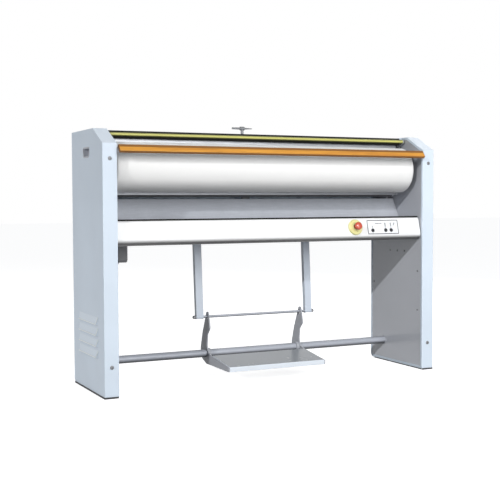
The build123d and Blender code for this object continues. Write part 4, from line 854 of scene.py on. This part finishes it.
def makeLabelMarks():
    # a border line, a ring and bars as plain on and off marks, and short scale ticks
    facts = {
        "place": (0.5135, 0.646),  # x and height of its middle
        "size": (0.161, 0.064),
        "corners": (0.0022, 0.0012),  # of the border line, outside and inside
        "border": 0.0027,
        "inset": 0.0006,
        "plate": 0.0008,
        "ink": 0.00025,
        "markRise": 0.0125,
        "ringRadius": 0.0032,
        "line": 0.0009,
        "stroke": 1.3,  # width of the upright bars, in lines
        "tickRise": 0.0185,
        "tickStep": 0.0042,
        "ticks": 4,
        "besideLast": 0.0145,
        "besideStep": 0.0022,
        "tick": (0.0058, 0.0024, 0.0003),  # width, height and corner
        "bar": (0.034, 0.0020, 0.0004),
        "barPlace": (-0.022, 0.0165, 0),
    }
    lift, ink, ringRadius = facts["plate"], facts["ink"], facts["ringRadius"]
    plate = onFascia(*facts["place"], lift)
    width, height = (size - 2 * facts["inset"] for size in facts["size"])
    border = 2 * facts["border"]
    outer = roundedRectangle(width, height, facts["corners"][0])
    inner = roundedRectangle(width - border, height - border, facts["corners"][1])
    marks = [moved(slab(outer, 0, ink, inner), plate)]
    bar = slab(roundedRectangle(*facts["bar"]), 0, ink)
    marks.append(moved(bar, plate @ Matrix.Translation(facts["barPlace"])))
    tick = roundedRectangle(*facts["tick"])
    for number, x in enumerate(buttonSpots):
        spot = onFascia(x, buttonHeight, lift)
        above = spot @ Matrix.Translation((0, facts["markRise"], 0))
        if number == 1:
            mark = slab(circle(ringRadius), 0, ink, circle(ringRadius - facts["line"]))
        else:
            upright = roundedRectangle(facts["line"] * facts["stroke"], 2 * ringRadius, facts["tick"][2])
            mark = slab(upright, 0, ink)
        marks.append(moved(mark, above))
        for step in range(facts["ticks"] if number else 1):
            rise = facts["tickRise"] + step * facts["tickStep"]
            marks.append(moved(slab(tick, 0, ink), spot @ Matrix.Translation((0, rise, 0))))
    last = onFascia(buttonSpots[-1], buttonHeight, lift)
    for step in range(3):
        aside = facts["besideLast"] + facts["besideStep"] * step
        rise = facts["tickRise"] + facts["tickStep"] * (step + 1)
        marks.append(moved(slab(tick, 0, ink), last @ Matrix.Translation((aside, rise, 0))))
    addPiece("labelMarks", marks, "frame", "dark_plastic", inkFinish, smooth=False)


def makeButtonBezels():
    # a ring round each button, drawn as (radius, height) points
    facts = {"inner": 0.0061, "outer": 0.0086, "rise": 0.0016, "plate": 0.0008, "rim": 0.0004,
             "slope": 0.0006}
    inner, outer, rise = facts["inner"], facts["outer"], facts["rise"]
    profile = [(inner, 0.0), (inner, rise * 0.8), (inner + facts["rim"], rise),
               (outer - facts["slope"], rise * 0.9), (outer, rise * 0.4), (outer, 0.0), (inner, 0.0)]
    rings = [moved(lathe(profile), onFascia(x, buttonHeight, facts["plate"])) for x in buttonSpots]
    addPiece("buttonBezels", rings, "frame", "dark_plastic", creaseAngle=40)


stopFacts = {
    "place": (0.3705, 0.646),
    "baseTop": 0.010,
    "collar": (0.0125, 0.0205),  # inner and outer radius
    "collarRise": 0.0042,
    "collarSteps": (0.0008, 0.0030, 0.0012),  # inner lip, top and slope, from its edges
    "mushroom": ((0, -0.0176), (0.0110, -0.0176), (0.0110, 0.0255), (0.0150, 0.0262), (0.0168, 0.0274),
                 (0.0175, 0.0292), (0.0175, 0.0306), (0.0169, 0.0327), (0.0157, 0.0347), (0.0138, 0.0365),
                 (0.0112, 0.0381), (0.0081, 0.0392), (0.0042, 0.0398), (0, 0.0400)),
}


def makeStopCollar():
    low, high = stopFacts["collar"]
    rise = stopFacts["collarRise"]
    lip, top, slope = stopFacts["collarSteps"]
    profile = [(low, 0), (low, rise * 0.8), (low + lip, rise), (high - top, rise),
               (high - slope, rise * 0.75), (high, rise * 0.2), (high, 0), (low, 0)]
    base = onFascia(*stopFacts["place"], stopFacts["baseTop"])
    addPiece("stopCollar", moved(lathe(profile, 56), base), "frame", "stop_yellow", creaseAngle=40)


def makeStopMushroom():
    # the neck, the rim and the domed crown, as (radius, height above the fascia)
    turned = moved(lathe(stopFacts["mushroom"], 64), onFascia(*stopFacts["place"]))
    mushroom = addPiece("stopMushroom", turned, "stop_head", "stop_red", creaseAngle=50)
    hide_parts("stop_button")


makeStopMushroom()
makeLabelMarks()
makeButtonBezels()
makeStopCollar()
print("ironer: control panel details")


# welds round the tube's ends

def weldRing(centre, radius, size, beads, seed):
    # rippled fillet of weld metal round a tube along X
    facts = {"spots": 5, "section": 7, "ripple": 0.10, "jitter": 0.04,
             "out": 0.35, "wide": 0.62, "long": 0.55}  # shares of the bead's size
    randomiser = random.Random(seed)
    turn = Vector((1, 0, 0)).to_track_quat("Z", "Y").to_matrix().to_4x4()
    turn.translation = Vector(centre)
    spots, section = facts["spots"], facts["section"]
    points = []
    for step, angle in enumerate(fullTurn(beads * spots)):
        ripple = facts["ripple"] * math.cos(2 * math.pi * step / spots)
        swell = size * (1 + ripple + randomiser.uniform(-facts["jitter"], facts["jitter"]))
        for tilt in fullTurn(section):
            out = radius + swell * facts["out"] + swell * facts["wide"] * math.cos(tilt)
            along = swell * facts["long"] * math.sin(tilt)
            points.append(turn @ Vector((out * math.cos(angle), out * math.sin(angle), along)))
    return meshOf("weldRing", points, ringFaces(beads * spots, section, closed=True))


def makeWelds():
    facts = {"tubeRadius": 0.01685, "endX": 0.7115, "size": 0.0042, "beads": 26, "seed": 3}
    tubeLow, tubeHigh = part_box("stretcher_tube")
    axis = ((tubeLow[1] + tubeHigh[1]) / 2, (tubeLow[2] + tubeHigh[2]) / 2)
    ends = [weldRing((side * facts["endX"], *axis), facts["tubeRadius"], facts["size"], facts["beads"],
                     facts["seed"] + side) for side in (-1, 1)]
    addPiece("tubeEndWelds", ends, "frame", "bracket_steel")


makeWelds()
print("ironer: welds")


# dark seal along the tray's front edge: partly a rubber seal, partly painted shade for the gap between tray
# and housing

def makeTraySeal():
    # a lip's outline in (across, up) drawn along X
    facts = {"y": -0.1655, "z": 0.6862, "high": 0.0062, "wide": 0.0030, "reach": 0.7085, "spans": 24}
    high, half, reach, spans = facts["high"], facts["wide"] / 2, facts["reach"], facts["spans"]
    lip = [(-half, 0), (half, 0), (half, high * 0.7), (half * 0.5, high), (-half * 0.5, high),
           (-half, high * 0.7)]
    line = [Vector((-reach + 2 * reach * k / spans, facts["y"], facts["z"])) for k in range(spans + 1)]
    points = [here + Vector((0, across, up)) for here in line for across, up in lip]
    addPiece("traySeal", closedStrip("traySeal", points, len(lip)), "frame", "strip_black", creaseAngle=35)


makeTraySeal()
print("ironer: tray seal")


# rubber edging on the lower edges of the cabinets: partly real rubber, partly painted shade for the contact
# line at the floor

def makeFootEdging():
    # the corners lie on the right cabinet's outer faces, and the left cabinet is its mirror image
    facts = {
        "corners": ((0.7135, -0.203), (0.770, -0.203), (0.770, 0.2045)),
        "thick": 0.0015, "low": 0.0004, "high": 0.0075, "round": 0.0006, "sunk": 0.0002,
        "bend": 0.003, "steps": 8, "frontRuns": 6, "sideRuns": 12,
    }
    first, turn, last = (Vector((*corner, 0)) for corner in facts["corners"])
    bend, steps, frontRuns, sideRuns = (facts[key] for key in ("bend", "steps", "frontRuns", "sideRuns"))
    front, side = Vector((0, -1, 0)), Vector((1, 0, 0))
    line = [(first.lerp(turn - side * bend, k / frontRuns), front) for k in range(frontRuns)]
    centre = turn + Vector((-bend, bend, 0))
    for k in range(steps + 1):
        angle = math.radians(-90 + 90 * k / steps)
        out = Vector((math.cos(angle), math.sin(angle), 0))
        line.append((centre + out * bend, out))
    line += [((turn - front * bend).lerp(last, k / sideRuns), side) for k in range(1, sideRuns + 1)]
    thick, low, high, soft, sunk = (facts[key] for key in ("thick", "low", "high", "round", "sunk"))
    outline = [(-sunk, low), (thick - soft, low), (thick, low + soft), (thick, high - soft),
               (thick - soft, high), (-sunk, high)]
    strips = []
    for mirror in (-1, 1):
        points = [(mirror * (here.x + out.x * a), here.y + out.y * a, b)
                  for here, out in line for a, b in outline]
        strips.append(closedStrip("edging", points, len(outline)))
    edging = joinMeshes("footEdging", strips, outward=True)
    addPiece("footEdging", edging, "frame", "foot_rubber", creaseAngle=35)


makeFootEdging()
print("ironer: foot edging")


# rolled edges of the louvres, in a lighter paint as a painted highlight

def makeLouvreEdges():
    # a bead down the front arris of each louvre and along its lip
    facts = {
        "face": 0.770,  # x of the cabinet's side
        "lows": (0.149, 0.1927, 0.2364, 0.2801),
        "height": 0.030,
        "lip": 0.002,
        "depth": 0.007,
        "centre": 0.002,
        "length": 0.250,
        "taper": 0.0112,
        "radius": 0.0021,
        "sides": 8, "lipRuns": 20, "arrisRuns": 4,
    }
    face, brow = facts["face"], facts["face"] + facts["depth"]
    outline = circle(facts["radius"], facts["sides"])
    near, far = facts["centre"] - facts["length"] / 2, facts["centre"] + facts["length"] / 2
    strips = []
    for mirror in (-1, 1):
        for low in facts["lows"]:
            start = Vector((face, near, low + facts["height"]))
            bend = Vector((brow, near + facts["taper"], low + facts["lip"]))
            stop = Vector((brow, far - facts["taper"], low + facts["lip"]))
            line = [start.lerp(bend, k / facts["arrisRuns"]) for k in range(facts["arrisRuns"])]
            line += [bend.lerp(stop, k / facts["lipRuns"]) for k in range(facts["lipRuns"])] + [stop]
            points = []
            for index, here in enumerate(line):
                ahead = (line[min(len(line) - 1, index + 1)] - line[max(0, index - 1)]).normalized()
                across = ahead.cross(Vector((1, 0, 0))).normalized()
                out = across.cross(ahead)
                points += [here + a * across + b * out for a, b in outline]
            points = [(mirror * p.x, p.y, p.z) for p in points]
            strips.append(closedStrip("louvreEdge", points, len(outline)))
    beads = joinMeshes("louvreEdges", strips, outward=True)
    addPiece("louvreEdges", beads, "frame", "cover_paint", louvreHighlightFinish)


makeLouvreEdges()
print("ironer: louvre edges")


# quilted heater blanket inside the shoe's back cover

def makeShoeBlanket():
    facts = {
        "thick": 0.012,
        "angles": (-55.6, 55.6),
        "rows": 4,  # quilted squares up the arc
        "columns": 20,  # and along the shoe
        "stitchDip": 0.0034,
        "stitchReach": 0.020,
        "edge": 0.0050,
        "puff": 0.0003,
        "clearance": 0.0004,
        "endGap": 0.001,
        "least": 0.12,  # share of the fullness left at the rim
        "backDip": 0.35,  # share of the stitch's depth on the outer side
        "thinnest": 0.0006,  # half of it
        "across": 44, "stations": 200,
    }
    low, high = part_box("shoe_insulation")
    outer = high[1] - rollCentre[0] - facts["clearance"]
    middle = outer - facts["thick"] / 2
    left, right = low[0] + facts["endGap"], high[0] - facts["endGap"]
    arc = math.radians(facts["angles"][1] - facts["angles"][0])
    across, stations = facts["across"], facts["stations"]
    row, column = arc * middle / facts["rows"], (right - left) / facts["columns"]

    def fullness(away):
        # rounded rim, 0 at the very edge and 1 from the edge radius inward
        share = min(1.0, max(0.0, away / facts["edge"]))
        return math.sqrt(1 - (1 - share) ** 2)

    def dipAt(along, up):
        toColumn = abs((along + column / 2) % column - column / 2)
        toRow = abs((up + row / 2) % row - row / 2)
        nearest = min(toColumn, toRow)
        return facts["stitchDip"] * (1 - math.sqrt(min(1.0, nearest / facts["stitchReach"])))

    points = []
    for station in range(stations + 1):
        along = (right - left) * station / stations
        endShare = max(facts["least"], fullness(min(along, right - left - along)))
        for face in (-1, 1):
            for step in range(across):
                turn = step if face < 0 else across - 1 - step
                up = arc * middle * turn / (across - 1)
                share = endShare * max(facts["least"], fullness(min(up, arc * middle - up)))
                dip = dipAt(along, up) * (1.0 if face < 0 else facts["backDip"])
                lump = facts["puff"] * math.sin(61 * along + 5 * turn) * math.sin(0.9 * turn + 23 * along)
                full = facts["thick"] / 2 - facts["puff"]
                half = max(facts["thinnest"], full * share - dip * share)
                distance = middle + face * half + lump * share
                angle = math.radians(facts["angles"][0]) + arc * turn / (across - 1)
                points.append(aroundRoll(left + along, distance, angle))
    quilt = closedStrip("shoeBlanket", points, 2 * across)
    blanket = addPiece("shoeBlanket", quilt, "shoe_carrier", "insulation")
    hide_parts("shoe_insulation")


makeShoeBlanket()
print("ironer: heater blanket")

print("ironer: finished")
